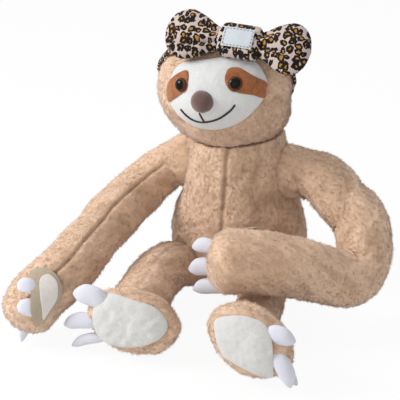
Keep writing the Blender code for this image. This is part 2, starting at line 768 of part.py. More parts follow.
def make_palm(side, name, form):
    """A border and a pad sewn round the inside of the hand, the pad on the border."""
    middle_row, facing, tilt = RIGHT_PALM if side < 0 else LEFT_PALM
    nearest = round(middle_row)
    row_length = np.linalg.norm(form.centres[nearest] - form.centres[nearest - 1])
    radius = (form.wides[nearest] + form.highs[nearest]) / 2

    def palm_sheet(piece, size, offset, wall, look=None, slot=None):
        shares, turn = np.linspace(1, 0, 4, endpoint=False), np.arange(20) * math.tau / 20
        share, angle = np.meshgrid(shares * size, turn, indexing="ij")
        along, around = share * np.sin(angle) * PALM_HALF_ALONG, share * np.cos(angle) * PALM_HALF_ROUND
        row = middle_row + (along * math.cos(tilt) + around * math.sin(tilt)) / row_length
        bearing = facing + (around * math.cos(tilt) - along * math.sin(tilt)) / radius
        centre = form.at(np.array(middle_row), np.array(facing), offset)
        sheet = add(piece, grid_mesh(form.at(row, bearing, offset), tip=centre), look, slot)
        outward = Vector(centre - form.at(np.array(middle_row), np.array(facing + math.pi)))
        if sheet.data.polygons[-1].normal.dot(outward) < 0:
            sheet.data.flip_normals()
        solidify(sheet, wall, outwards=True)
        return sheet

    palm_sheet(name + "_palm_border", 1, LAID_GAP, SHEET_WALL, KHAKI_LOOK, "khaki_fabric")
    above = LAID_GAP + SHEET_WALL + LAID_GAP
    palm_sheet(name + "_palm_pad", PALM_PAD_SHARE, above, SHEET_WALL, SOLE_LOOK, "pad_fabric")
    return palm_sheet(name + "_palm_room", 1 + PALM_ROOM_SHARE, 0, CUT_OVERRUN)


def make_claws(name, middle, size, shares, across, cutters):
    """Flattened felt fingers with blunt tips, cut to the surfaces that they are sewn to."""
    for i, (root, end) in enumerate(np.array(shares) * size, start=1):
        direction = unit(end - root)
        start = middle + root - (end - root) * CLAW_ROOT_SHARE
        half = np.linalg.norm(middle + end - start) / 2
        bm = bmesh.new()
        bmesh.ops.create_uvsphere(bm, u_segments=10, v_segments=8, radius=1)
        for vertex in bm.verts:
            along = vertex.co.z
            if abs(along) < 1 - SEAM_GAP:
                full = math.sqrt((1 - abs(along) ** CLAW_BLUNTNESS) / (1 - along**2))
                full *= 1 - CLAW_TAPER_SHARE * (along + 1) / 2
                vertex.co.x *= full
                vertex.co.y *= full
        bmesh.ops.scale(bm, vec=(CLAW_HALF_WIDTH, CLAW_HALF_WALL, half), verts=bm.verts)
        place = placed(start + direction * half, across, direction)
        claw = add(f"{name}_claw_{i}", bm, CLAW_LOOK, "claw_felt", place)
        for cutter in cutters:
            cut(claw, cutter)


def foot_frame(side):
    """The foot's centre, its toe direction, its upward direction and its sole's normal."""
    centre, roll, turn = (
        (RIGHT_FOOT, RIGHT_FOOT_ROLL, RIGHT_FOOT_TURN)
        if side < 0
        else (LEFT_FOOT, LEFT_FOOT_ROLL, LEFT_FOOT_TURN)
    )
    sole = np.array((math.sin(turn), -math.cos(turn), 0.0))
    level = np.array((side * math.cos(turn), side * math.sin(turn), 0.0))
    toe = level * math.cos(roll) + UP * math.sin(roll)
    return np.array(centre), toe, np.cross(toe, sole) * -side, sole


def foot_form(side, offset=0.0):
    """Ovals stacked from the ankle side to the sole: each axis follows a superellipse."""
    centre, toe, above, sole = foot_frame(side)
    depths = np.sin(np.radians((-62, -42, -20, 0, 22, 44, 62, 76)))
    full = (1 - np.abs(depths) ** FOOT_FLATNESS) ** (1 / FOOT_FULLNESS)
    full = np.where(depths < 0, np.sqrt(1 - depths**2), full)
    grown = FOOT_HALF_DEPTH + offset
    return Form(
        centre + np.outer(depths, sole) * grown,
        np.tile(toe, (len(depths), 1)),
        np.tile(above, (len(depths), 1)),
        full * (FOOT_HALF_LENGTH + offset),
        full * (FOOT_HALF_HEIGHT + offset),
        centre + sole * grown,
        FOOT_EGG_SHARE,
    )


def make_foot(side, name):
    form = foot_form(side)
    centre, toe, above, sole = foot_frame(side)
    stuffed(name + "_foot", form, FOOT_SEGMENTS, PLUSH_LOOK, "tan_plush")

    def sole_sheet(piece, size, offset, wall, look=None, slot=None):
        shares, turn = np.linspace(size, 0, 4, endpoint=False), np.arange(20) * math.tau / 20
        share, angle = np.meshgrid(shares, turn, indexing="ij")
        depth = (1 - share**FOOT_FULLNESS) ** (1 / FOOT_FLATNESS)
        grown = FOOT_HALF_DEPTH + offset
        rise = depth[..., None] * sole * grown
        spread = np.cos(angle)[..., None] * toe * FOOT_HALF_LENGTH
        high = FOOT_HALF_HEIGHT * (1 + FOOT_EGG_SHARE * np.cos(angle)) * np.sin(angle)
        points = centre + rise + (spread + high[..., None] * above) * share[..., None]
        sheet = add(piece, grid_mesh(points, tip=centre + sole * grown), look, slot)
        if sheet.data.polygons[-1].normal.dot(Vector(sole)) < 0:
            sheet.data.flip_normals()
        solidify(sheet, wall, outwards=True)
        return sheet

    sole_sheet(name + "_sole", SOLE_SHARE, LAID_GAP, SHEET_WALL, SOLE_LOOK, "sole_plush")
    sole_room = sole_sheet(name + "_sole_room", SOLE_SHARE + SOLE_ROOM_SHARE, 0, LAID_GAP + SHEET_WALL + SEAM_GAP)
    surface = closed_cutter(name + "_foot_surface", foot_form(side, SEAM_GAP), FOOT_SEGMENTS, 0)
    shares = RIGHT_FOOT_CLAW_SHARES if side < 0 else LEFT_FOOT_CLAW_SHARES
    make_claws(name + "_foot", centre, FOOT_HALF_LENGTH, shares, UP, [surface, sole_room])


def make_leg(side, name):
    shares = RIGHT_LEG_SHARES if side < 0 else LEFT_LEG_SHARES
    keys = [
        (*(hip(side) + np.array(row[:3]) * LEG_LENGTH), row[3] * LEG_RADIUS, row[3] * LEG_RADIUS)
        for row in shares
    ]
    form = limb(hip(side), HIP_BALL, keys, LEG_RADIUS / 2)
    skin, filling = stuffed(name + "_leg", form, LIMB_SEGMENTS, PLUSH_LOOK, "tan_plush")
    ankle = closed_cutter(name + "_ankle_surface", foot_form(side, SEAM_GAP), FOOT_SEGMENTS, 0)
    cut(skin, ankle)
    cut(filling, ankle)


def head_level(points):
    """0 on the head's surface, less inside it."""
    rows = head_rings()
    x, y, z = np.moveaxis(points, -1, 0)
    wide, deep, middle = (np.interp(z, rows[:, 0], rows[:, column]) for column in (1, 2, 3))
    level = (x / wide) ** 2 + ((y - middle) / deep) ** 2 - 1
    return np.where((z > 0) & (z < HEAD_HEIGHT), level, 1)


def band_path():
    """Where a sloping plane meets the head, as points and outward normals in its frame."""
    angles = np.arange(BAND_SEGMENTS) * math.tau / BAND_SEGMENTS
    back = np.array((0.0, math.cos(BAND_SLOPE), -math.sin(BAND_SLOPE)))
    outward = np.outer(np.cos(angles), (1.0, 0.0, 0.0)) + np.outer(np.sin(angles), back)
    centre = np.array((0.0, BAND_CENTRE_BACK - HEAD_FORWARD, BAND_CENTRE_HEIGHT))
    near, far = np.zeros(BAND_SEGMENTS), np.full(BAND_SEGMENTS, 2 * HEAD_HALF_WIDTH)
    for _ in range(30):
        middle = (near + far) / 2
        inside = head_level(centre + outward * middle[:, None]) < 0
        near, far = np.where(inside, middle, near), np.where(inside, far, middle)
    points = centre + outward * near[:, None]
    slopes = [head_level(points + step) - head_level(points - step) for step in np.eye(3) * SEAM_GAP]
    normals = np.stack(slopes, axis=1)
    return points, normals / np.linalg.norm(normals, axis=1, keepdims=True)


def make_headband():
    """A soft strap round the head, as a flat oval carried along the path."""
    points, normals = band_path()
    along = np.roll(points, -1, axis=0) - np.roll(points, 1, axis=0)
    across = np.cross(along, normals)
    across /= np.linalg.norm(across, axis=1, keepdims=True)
    turn = np.arange(8) * math.tau / 8
    middle = points + normals * (BAND_HALF_WALL + LAID_GAP)
    wall = np.cos(turn)[:, None, None] * normals * BAND_HALF_WALL
    wide = np.sin(turn)[:, None, None] * across * BAND_HALF_WIDTH
    grid = np.moveaxis(middle + wall + wide, 0, 1)
    grid = np.concatenate((grid, grid[:1]))
    bm = grid_mesh(grid)
    bmesh.ops.remove_doubles(bm, verts=bm.verts, dist=SEAM_GAP / 4)
    band = add("headband", bm, BOW_LOOK, "leopard_cloth", head_place)
    cut(band, closed_cutter("head_under_band", head_form(), BODY_SEGMENTS, LAID_GAP, head_place))


def make_bow():
    """A knot on the headband with a padded loop on each side, and a bare label on the knot."""
    lean = Matrix.Rotation(BOW_LEANING, 4, "X")
    place = (
        head_place
        @ Matrix.Translation((BOW_OUT, -BOW_FORWARD, BOW_RISE))
        @ Matrix.Rotation(BOW_ROLL, 4, "Y")
        @ lean
    )
    room = 2 * BAND_HALF_WALL + LAID_GAP + SEAM_GAP
    under = closed_cutter("head_under_bow", head_form(FINE_STEPS // 2), 2 * BODY_SEGMENTS, room, head_place)

    def knot_mesh(grow):
        bm = bmesh.new()
        bmesh.ops.create_cube(bm, size=2)
        bmesh.ops.subdivide_edges(bm, edges=bm.edges, cuts=3, use_grid_fill=True)
        for vertex in bm.verts:
            point = vertex.co
            point /= (point.x**4 + point.y**4 + point.z**4) ** 0.25
        size = (KNOT_HALF_WIDTH + grow, KNOT_HALF_WALL + grow, KNOT_HALF_HEIGHT + grow)
        bmesh.ops.scale(bm, vec=size, verts=bm.verts)
        return bm

    knot = add("bow_knot", knot_mesh(0), BOW_LOOK, "leopard_cloth", place)
    cut(knot, under)
    around_knot = add("around_knot", knot_mesh(SEAM_GAP), place=place)
    for side, name, length in ((-1, "right", RIGHT_LOOP_LENGTH), (1, "left", LEFT_LOOP_LENGTH)):
        rows = np.array(LOOP_RING_SHARES)
        zero = 0 * rows[:, 0]
        start = KNOT_HALF_WIDTH * 0.80
        centres = np.stack((side * (start + rows[:, 0] * length), zero, zero), axis=1)
        form = Form(
            centres,
            np.tile((0.0, 1.0, 0.0), (len(rows), 1)),
            np.tile((0.0, 0.0, 1.0), (len(rows), 1)),
            rows[:, 2] * LOOP_HALF_WALL,
            rows[:, 1] * LOOP_HALF_HEIGHT,
            np.array((side * (start + length), 0.0, 0.0)),
        )
        bm = grid_mesh(form.grid(LIMB_SEGMENTS), tip=form.tip)
        close_openings(bm)
        loop = add(name + "_bow_loop", bm, BOW_LOOK, "leopard_cloth", place)
        cut(loop, under)
        cut(loop, around_knot)
    bm = bmesh.new()
    bmesh.ops.create_cube(bm, size=2)
    bmesh.ops.scale(bm, vec=(LABEL_HALF_WIDTH, LABEL_WALL / 2, LABEL_HALF_HEIGHT), verts=bm.verts)
    shift = Matrix.Translation((0, -KNOT_HALF_WALL - LABEL_WALL / 2 - SEAM_GAP, 0))
    add("bow_label", bm, LABEL_LOOK, "label_cloth", place @ shift)


def attach(joint, pivot, carrier, make, *values):
    """Makes pieces and hangs them on an empty at the joint that they turn on or slide along."""
    collection = bpy.data.collections["plush_sloth"]
    before = set(collection.objects)
    for step in make:
        step(*values)
    empty = bpy.data.objects.new(joint, None)
    empty.location = pivot
    for piece in set(collection.objects) - before:
        piece.parent = empty
        piece.matrix_parent_inverse = Matrix.Translation(-Vector(pivot))
    collection.objects.link(empty)
    if carrier:
        empty.parent = carrier
        empty.matrix_parent_inverse = Matrix.Translation(-carrier.location)
    return empty


clear_scene()
make_torso()
head_joint = attach("head_turn", NECK, None, [make_head])
attach("headband_lift", NECK, head_joint, [make_headband, make_bow])
for side, name in ((-1, "right"), (1, "left")):
    shoulder_joint = attach(name + "_shoulder_swing", shoulder(side), None, [make_upper_arm], side, name)
    attach(name + "_elbow_bend", elbow(side), shoulder_joint, [make_forearm], side, name)
    attach(name + "_hip", hip(side), None, [make_leg, make_foot], side, name)
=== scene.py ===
import math
from types import SimpleNamespace

import bpy
import numpy as np
from mathutils import Matrix, Vector


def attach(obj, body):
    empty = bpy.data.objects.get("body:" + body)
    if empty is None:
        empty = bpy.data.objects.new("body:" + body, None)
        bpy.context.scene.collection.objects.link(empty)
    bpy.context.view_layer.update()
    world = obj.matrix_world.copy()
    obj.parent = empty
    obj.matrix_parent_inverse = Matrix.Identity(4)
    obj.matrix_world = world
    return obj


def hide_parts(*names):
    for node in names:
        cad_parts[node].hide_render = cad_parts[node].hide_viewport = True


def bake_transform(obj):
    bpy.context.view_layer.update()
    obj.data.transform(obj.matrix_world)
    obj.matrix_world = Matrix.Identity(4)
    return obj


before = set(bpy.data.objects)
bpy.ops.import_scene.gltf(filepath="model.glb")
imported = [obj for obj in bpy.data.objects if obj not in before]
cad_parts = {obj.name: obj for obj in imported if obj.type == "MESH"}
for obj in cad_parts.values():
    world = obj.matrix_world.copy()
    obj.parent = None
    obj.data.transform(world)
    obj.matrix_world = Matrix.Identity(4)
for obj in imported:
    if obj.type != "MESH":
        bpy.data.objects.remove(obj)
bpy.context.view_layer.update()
print("frame loaded:", len(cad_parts), "nodes")

mm = 0.001
up = np.array((0.0, 0.0, 1.0))


# Vectors divided by their lengths
def unitRows(vectors):
    vectors = np.asarray(vectors, float)
    return vectors / np.maximum(np.linalg.norm(vectors, axis=-1, keepdims=True), 1e-12)


# Evenly spaced turns round a circle
def roundTurn(count):
    return np.arange(count) * math.tau / count


# The same turns from -180 degrees, each in the middle of its step
def middleTurn(count):
    return -math.pi + (np.arange(count) + 0.5) * math.tau / count


# The turn from one angle to another, the short way round
def turnBetween(first, second):
    return np.angle(np.exp(1j * (first - second)))


# A power of the size of a number, with its sign kept: it squares off or pinches a sine
def signedPower(values, power):
    return np.sign(values) * np.abs(values) ** power


# Smooth random numbers from -1 to 1: a hash at the eight corners of each unit cell, eased between
def cloudNoise(points, seed=0):
    base = np.floor(points).astype(np.int64)
    part = points - base
    part = part * part * (3 - 2 * part)
    total = np.zeros(points.shape[:-1])
    for corner in range(8):
        step = np.array((corner & 1, corner >> 1 & 1, corner >> 2))
        at = base + step
        key = at[..., 0] * 73856093 ^ at[..., 1] * 19349663 ^ at[..., 2] * 83492791 ^ (seed + 1) * 265443
        key = (key ^ key >> 13) * 1274126177 & 0x7FFFFFFF
        value = (key ^ key >> 15) & 0xFFFF
        weight = np.prod(np.where(step, part, 1 - part), axis=-1)
        total += weight * (value / 32767.5 - 1)
    return total


# A Catmull-Rom curve through rows of numbers; a closed one comes back to its first row
def splined(keys, steps, closed=False):
    keys = np.asarray(keys, float)
    if closed:
        padded = np.vstack((keys[-1], keys, keys[0], keys[1]))
    else:
        padded = np.vstack((2 * keys[0] - keys[1], keys, 2 * keys[-1] - keys[-2]))
    a, b, c, d = (padded[i : len(padded) - 3 + i, None] for i in range(4))
    t = (np.arange(steps) / steps)[None, :, None]
    rows = (2 * b + (c - a) * t + (2 * a - 5 * b + 4 * c - d) * t**2 + (3 * b - a - 3 * c + d) * t**3) / 2
    rows = rows.reshape(-1, keys.shape[1])
    return rows if closed else np.vstack((rows, keys[-1]))


# The same rows set out at even distances, measured over their first columns
def evenly(rows, spacing, columns=4):
    gaps = np.linalg.norm(np.diff(rows[:, :columns], axis=0), axis=1)
    along = np.concatenate(((0,), np.cumsum(gaps)))
    at = np.linspace(0, along[-1], int(along[-1] / spacing) + 2)
    return np.stack([np.interp(at, along, column) for column in rows.T], axis=1)


# Rings square to a path of x, y, z and two radii, untwisted back from the last one, which is level
def sweptForm(rows):
    tangents = unitRows(np.gradient(rows[:, :3], axis=0))
    sides = [unitRows(np.cross(tangents[-1], up))]
    for tangent in tangents[-2::-1]:
        sides.insert(0, unitRows(sides[0] - tangent * (sides[0] @ tangent)))
    sides = np.array(sides)
    return SimpleNamespace(
        centres=rows[:, :3], sides=sides, ups=np.cross(sides, tangents), wides=rows[:, 3], highs=rows[:, 4]
    )


# Rings that all face one way
def levelForm(centres, side, above, wides, highs):
    size = (len(centres), 1)
    return SimpleNamespace(
        centres=centres, sides=np.tile(side, size), ups=np.tile(above, size), wides=wides, highs=highs
    )


# centre + side * wide * cos + up * high * sin, for every ring and every angle
def ringGrid(form, count):
    angles = roundTurn(count)
    across = form.sides[:, None] * (form.wides[:, None] * np.cos(angles))[..., None]
    above = form.ups[:, None] * (form.highs[:, None] * np.sin(angles))[..., None]
    return form.centres[:, None] + across + above, angles


# Unit normals of a grid that closes on itself round its second axis, pointing away from the ring centres
def gridNormals(points, outwardFrom):
    down = np.gradient(points, axis=0)
    around = np.roll(points, -1, axis=1) - np.roll(points, 1, axis=1)
    normals = unitRows(np.cross(down, around))
    facing = np.sum(normals * (points - outwardFrom), axis=-1)
    return normals * (1 if np.median(facing) > 0 else -1)


# A mesh from points and faces: one array of corners for each number of corners
def newPiece(name, points, faces, material, uv=None, marks=None):
    mesh = bpy.data.meshes.new(name)
    corners = np.concatenate([group.ravel() for group in faces]).astype(np.int32)
    sizes = np.concatenate([np.full(len(group), group.shape[1]) for group in faces])
    mesh.vertices.add(len(points))
    mesh.vertices.foreach_set("co", points.astype(np.float32).ravel())
    mesh.loops.add(len(corners))
    mesh.loops.foreach_set("vertex_index", corners)
    mesh.polygons.add(len(sizes))
    mesh.polygons.foreach_set("loop_start", (np.cumsum(sizes) - sizes).astype(np.int32))
    mesh.update(calc_edges=True)
    if uv is not None:
        layer = mesh.uv_layers.new(name="OFBake")
        layer.uv.foreach_set("vector", uv.astype(np.float32).ravel())
    for label, values in (marks or {}).items():
        kind = "FLOAT" if values.ndim == 1 else "FLOAT_VECTOR"
        mark = mesh.attributes.new(label, kind, "POINT")
        mark.data.foreach_set("value" if values.ndim == 1 else "vector", values.astype(np.float32).ravel())
    mesh.shade_smooth()
    mesh.materials.append(material)
    piece = bpy.data.objects.new(name, mesh)
    bpy.context.scene.collection.objects.link(piece)
    return piece


# Quads between neighbouring rings, and a fan of triangles to a pole at either end
def ringFaces(rows, count, startPole=None, endPole=None):
    index = np.arange(rows * count).reshape(rows, count)
    after = np.roll(index, -1, axis=1)
    quads = np.stack((index[:-1], after[:-1], after[1:], index[1:]), axis=-1).reshape(-1, 4)
    fans = []
    if startPole is not None:
        fans.append(np.stack((after[0], index[0], np.full(count, startPole)), axis=-1))
    if endPole is not None:
        fans.append(np.stack((index[-1], after[-1], np.full(count, endPole)), axis=-1))
    return quads, np.concatenate(fans) if fans else np.zeros((0, 3), int)


# Faces pointing outwards: the volume is the sum of a x b . c over all triangles, and a negative one flips them
def outwardFaces(points, quads, fans):
    a, b, c, d = (points[quads[:, i]] for i in range(4))
    e, f, g = (points[fans[:, i]] for i in range(3))
    volume = np.sum(np.cross(a, b) * c) + np.sum(np.cross(a, c) * d) + np.sum(np.cross(e, f) * g)
    return (quads[:, ::-1], fans[:, ::-1]) if volume < 0 else (quads, fans)


# A closed shell from rings of points followed by its two poles
def closedShell(name, points, rows, count, material, marks=None):
    faces = outwardFaces(points, *ringFaces(rows, count, len(points) - 2, len(points) - 1))
    return newPiece(name, points, faces, material, marks=marks)


# A tube that comes back to its first ring
def closedTube(name, points, rows, count, material, marks=None):
    quads, fans = ringFaces(rows + 1, count)
    return newPiece(name, points, outwardFaces(points, quads % (rows * count), fans), material, marks=marks)


# A sheet of cloth: faces turned to look outward, with the wall put on behind them
def clothPiece(name, points, faces, outward, wall, material, marks=None):
    a, b, c = points[faces[-1][0, :3]]
    if np.cross(b - a, c - a) @ outward < 0:
        faces = [group[:, ::-1] for group in faces]
    piece = newPiece(name, points, faces, material, marks=marks)
    solid = piece.modifiers.new("cloth", "SOLIDIFY")
    solid.thickness, solid.offset = wall, -1
    return piece


# The body a piece moves with, its material slot, which is not used, and the nodes that it stands for
def ridesOn(piece, body, slot, *nodes):
    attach(piece, body)
    if nodes:
        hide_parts(*nodes)


# A shader group with named sockets, whose inputs have a default
def newGroup(name, inputs, outputs):
    tree = bpy.data.node_groups.new(name, "ShaderNodeTree")
    for label, kind, value in inputs:
        tree.interface.new_socket(name=label, in_out="INPUT", socket_type="NodeSocket" + kind).default_value = value
    for label, kind in outputs:
        tree.interface.new_socket(name=label, in_out="OUTPUT", socket_type="NodeSocket" + kind)
    return tree, tree.nodes.new("NodeGroupInput").outputs, tree.nodes.new("NodeGroupOutput").inputs


# A socket takes a link from another socket, or else a plain value
def feed(tree, socket, value):
    if isinstance(value, bpy.types.NodeSocket):
        tree.links.new(value, socket)
    else:
        socket.default_value = value


# One step of arithmetic
def maths(tree, operation, first, second=0.0, third=0.0, clamp=False):
    node = tree.nodes.new("ShaderNodeMath")
    node.operation = operation
    node.use_clamp = clamp
    for socket, value in zip(node.inputs, (first, second, third)):
        feed(tree, socket, value)
    return node.outputs[0]


# A smooth step from one value to another between low and high
def eased(tree, value, low, high, outLow=0.0, outHigh=1.0):
    node = tree.nodes.new("ShaderNodeMapRange")
    node.interpolation_type = "SMOOTHSTEP"
    for socket, number in zip(node.inputs, (value, low, high, outLow, outHigh)):
        feed(tree, socket, number)
    return node.outputs[0]


# first * (1 - share) + second * share
def mixed(tree, share, first, second):
    node = tree.nodes.new("ShaderNodeMix")
    node.data_type = "RGBA"
    feed(tree, node.inputs[0], share)
    feed(tree, node.inputs[6], first)
    feed(tree, node.inputs[7], second)
    return node.outputs[2]


# Noise from 0 to 1
def clouds(tree, vector, scale, detail=2.0, roughness=0.5, output="Fac"):
    node = tree.nodes.new("ShaderNodeTexNoise")
    for label, value in (("Vector", vector), ("Scale", scale), ("Detail", detail), ("Roughness", roughness)):
        feed(tree, node.inputs[label], value)
    return node.outputs[output]


# Soft patches, nap flecks and single fibres, mixed into one share between the deep and the tip colour
def makePileGroup():
    tree, given, out = newGroup(
        "pileNap",
        [
            ("Vector", "Vector", (0, 0, 0)),
            ("Tip Colour", "Color", (1, 1, 1, 1)),
            ("Deep Colour", "Color", (0, 0, 0, 1)),
            ("Tip", "Float", 0.5),
            ("Patch Scale", "Float", 60.0),
            ("Fleck Scale", "Float", 330.0),
            ("Contrast", "Float", 1.0),
        ],
        [("Colour", "Color"), ("Height", "Float")],
    )
    patch = clouds(tree, given["Vector"], given["Patch Scale"], 2.0)
    fleck = clouds(tree, given["Vector"], given["Fleck Scale"], 3.0, 0.6)
    fibre = clouds(tree, given["Vector"], maths(tree, "MULTIPLY", given["Fleck Scale"], 5.0), 2.0)
    sway = maths(tree, "MULTIPLY", maths(tree, "SUBTRACT", patch, 0.5), 0.9)
    sway = maths(tree, "MULTIPLY_ADD", maths(tree, "SUBTRACT", fleck, 0.5), 1.5, sway)
    sway = maths(tree, "MULTIPLY_ADD", maths(tree, "SUBTRACT", fibre, 0.5), 0.7, sway)
    share = maths(tree, "MULTIPLY_ADD", sway, given["Contrast"], given["Tip"], clamp=True)
    tree.links.new(mixed(tree, share, given["Deep Colour"], given["Tip Colour"]), out["Colour"])
    height = maths(tree, "MULTIPLY_ADD", fibre, 0.5, fleck)
    tree.links.new(height, out["Height"])
    return tree


# Each cell holds one spot: a dark ragged ring with a warm middle, or a small solid fleck
def makeLeopardGroup():
    tree, given, out = newGroup(
        "leopardPrint",
        [
            ("Vector", "Vector", (0, 0, 0)),
            ("Spot Scale", "Float", 142.0),
            ("Ground", "Color", (1, 1, 1, 1)),
            ("Ring", "Color", (0, 0, 0, 1)),
            ("Middle", "Color", (1, 0.5, 0, 1)),
        ],
        [("Colour", "Color"), ("Height", "Float")],
    )
    shift = tree.nodes.new("ShaderNodeVectorMath")
    shift.operation = "MULTIPLY_ADD"
    tree.links.new(clouds(tree, given["Vector"], 150.0, 1.0, output="Color"), shift.inputs[0])
    shift.inputs[1].default_value = (0.0065, 0.0065, 0.0)
    tree.links.new(given["Vector"], shift.inputs[2])
    cells = tree.nodes.new("ShaderNodeTexVoronoi")
    cells.voronoi_dimensions = "2D"
    cells.inputs["Randomness"].default_value = 0.56
    tree.links.new(shift.outputs[0], cells.inputs["Vector"])
    tree.links.new(given["Spot Scale"], cells.inputs["Scale"])
    parts = tree.nodes.new("ShaderNodeSeparateColor")
    tree.links.new(cells.outputs["Color"], parts.inputs[0])
    ragged = clouds(tree, given["Vector"], 420.0, 1.0)
    distance = maths(tree, "MULTIPLY_ADD", maths(tree, "SUBTRACT", ragged, 0.5), 0.30, cells.outputs["Distance"])
    size = maths(tree, "MULTIPLY_ADD", parts.outputs[0], 0.18, 0.375)
    inner = maths(tree, "MULTIPLY_ADD", parts.outputs[1], 0.18, 0.25)
    inner = maths(tree, "SUBTRACT", size, inner)
    dark = eased(tree, maths(tree, "SUBTRACT", distance, size), -0.015, 0.015, 1.0, 0.0)
    warm = eased(tree, maths(tree, "SUBTRACT", distance, inner), -0.03, 0.02, 1.0, 0.0)
    gaps = eased(tree, clouds(tree, given["Vector"], 330.0, 1.0), 0.70, 0.74)
    dark = maths(tree, "MULTIPLY", dark, maths(tree, "SUBTRACT", 1.0, maths(tree, "MULTIPLY", gaps, 0.9)))
    base = mixed(tree, dark, given["Ground"], given["Ring"])
    tree.links.new(mixed(tree, maths(tree, "MULTIPLY", warm, dark), base, given["Middle"]), out["Colour"])
    tree.links.new(clouds(tree, given["Vector"], 1800.0, 2.0), out["Height"])
    return tree


# Threads over and under in two directions, slightly uneven
def makeWeaveGroup():
    tree, given, out = newGroup(
        "plainWeave",
        [
            ("Vector", "Vector", (0, 0, 0)),
            ("Threads", "Float", 1400.0),
            ("Colour", "Color", (1, 1, 1, 1)),
            ("Shade", "Color", (0, 0, 0, 1)),
        ],
        [("Colour", "Color"), ("Height", "Float")],
    )
    parts = tree.nodes.new("ShaderNodeSeparateXYZ")
    tree.links.new(given["Vector"], parts.inputs[0])
    pace = maths(tree, "MULTIPLY", given["Threads"], math.tau / 2)
    first = maths(tree, "SINE", maths(tree, "MULTIPLY", parts.outputs[0], pace))
    second = maths(tree, "SINE", maths(tree, "MULTIPLY", parts.outputs[1], pace))
    over = maths(tree, "MULTIPLY_ADD", maths(tree, "MULTIPLY", first, second), 0.5, 0.5)
    worn = clouds(tree, given["Vector"], 300.0, 3.0)
    share = maths(tree, "MULTIPLY_ADD", over, 0.35, maths(tree, "MULTIPLY", worn, 0.75), clamp=True)
    tree.links.new(mixed(tree, share, given["Shade"], given["Colour"]), out["Colour"])
    tree.links.new(over, out["Height"])
    return tree


pileGroup, leopardGroup, weaveGroup = makePileGroup(), makeLeopardGroup(), makeWeaveGroup()


# A material of one Principled shader with its plain numbers set
def startMaterial(name, roughness, sheen=0.0, specular=0.3):
    material = bpy.data.materials.new(name)
    material.use_nodes = True
    tree = material.node_tree
    shader = tree.nodes["Principled BSDF"]
    for label, value in (
        ("Roughness", roughness), ("Sheen Weight", sheen), ("Sheen Roughness", 0.6),
        ("Sheen Tint", (1, 1, 1, 1)), ("Specular IOR Level", specular),
    ):
        shader.inputs[label].default_value = value
    return material, tree, shader


# A height turned into a bump of the shader's normal
def bumped(tree, shader, height, distance):
    node = tree.nodes.new("ShaderNodeBump")
    node.inputs["Distance"].default_value = distance
    tree.links.new(height, node.inputs["Height"])
    tree.links.new(node.outputs["Normal"], shader.inputs["Normal"])


# A group placed in a material with its own values
def grouped(tree, group, **values):
    node = tree.nodes.new("ShaderNodeGroup")
    node.node_tree = group
    for label, value in values.items():
        feed(tree, node.inputs[label.replace("_", " ")], value)
    return node.outputs


# Places on the piece in its own frame, in metres
def objectCoordinates(tree):
    return tree.nodes.new("ShaderNodeTexCoord").outputs["Object"]


# A value or vector that the mesh carries at its points
def attribute(tree, name, output):
    node = tree.nodes.new("ShaderNodeAttribute")
    node.attribute_name = name
    return node.outputs[output]


# Pile of two colours; without a share of its own it takes the one that the mesh carries, which is painted shade
def pileMaterial(name, tip, deep, patch=60.0, fleck=330.0, contrast=1.0, tipShare=None, bump=0.6 * mm, sheen=0.3):
    material, tree, shader = startMaterial(name, 0.95, sheen, specular=0.1)
    if tipShare is None:
        # the mesh's share is painted shade, from dark at the spikes' feet and the nap's hollows to light at the tips
        tipShare = maths(tree, "MULTIPLY_ADD", attribute(tree, "paintedPileShade", "Fac"), 0.74, 0.20)
    out = grouped(
        tree, pileGroup, Vector=objectCoordinates(tree), Tip_Colour=(*tip, 1), Deep_Colour=(*deep, 1),
        Tip=tipShare, Patch_Scale=patch, Fleck_Scale=fleck, Contrast=contrast,
    )
    tree.links.new(out["Colour"], shader.inputs["Base Color"])
    bumped(tree, shader, out["Height"], bump)
    return material


looks = {
    # the tan pile's deep colour is painted shade, the colour at the spikes' feet and in the nap's hollows, and also
    # the dark end of its random flecks
    "tanTip": (0.88, 0.62, 0.435), "tanShade": (0.40, 0.23, 0.13),
    "whiteTip": (0.72, 0.72, 0.715), "whiteDeep": (0.55, 0.545, 0.535),
    "rustTip": (0.46, 0.165, 0.055), "rustDeep": (0.17, 0.05, 0.018),
    "soleTip": (0.69, 0.68, 0.655), "soleDeep": (0.50, 0.485, 0.46),
    "clawTip": (0.71, 0.71, 0.775), "clawDeep": (0.57, 0.57, 0.645),
    "noseTip": (0.165, 0.085, 0.068), "noseDeep": (0.06, 0.026, 0.02),
    "ground": (0.55, 0.455, 0.41), "ring": (0.014, 0.010, 0.009), "middle": (0.43, 0.19, 0.035),
    "khaki": (0.49, 0.415, 0.31), "khakiShade": (0.32, 0.26, 0.18),
    "label": (0.61, 0.645, 0.675), "labelShade": (0.49, 0.535, 0.575),
    "pad": (0.80, 0.745, 0.71), "padShade": (0.60, 0.54, 0.50),
}
tanPlush = pileMaterial("tanPlush", looks["tanTip"], looks["tanShade"], contrast=0.22, sheen=0.42)
whitePlush = pileMaterial(
    "whitePlush", looks["whiteTip"], looks["whiteDeep"], 45.0, 600.0, 0.7, 0.74, 0.25 * mm
)
rustPlush = pileMaterial("rustPlush", looks["rustTip"], looks["rustDeep"], 90.0, 750.0, 1.3, 0.62, 0.4 * mm)
solePlush = pileMaterial("solePlush", looks["soleTip"], looks["soleDeep"], 40.0, 500.0, 0.7, 0.66, 0.3 * mm)
clawFelt = pileMaterial("clawFelt", looks["clawTip"], looks["clawDeep"], 60.0, 900.0, 0.5, 0.78, 0.15 * mm)
noseVelour = pileMaterial("noseVelour", looks["noseTip"], looks["noseDeep"], 120.0, 1100.0, 0.9, 0.6, 0.15 * mm, 0.5)


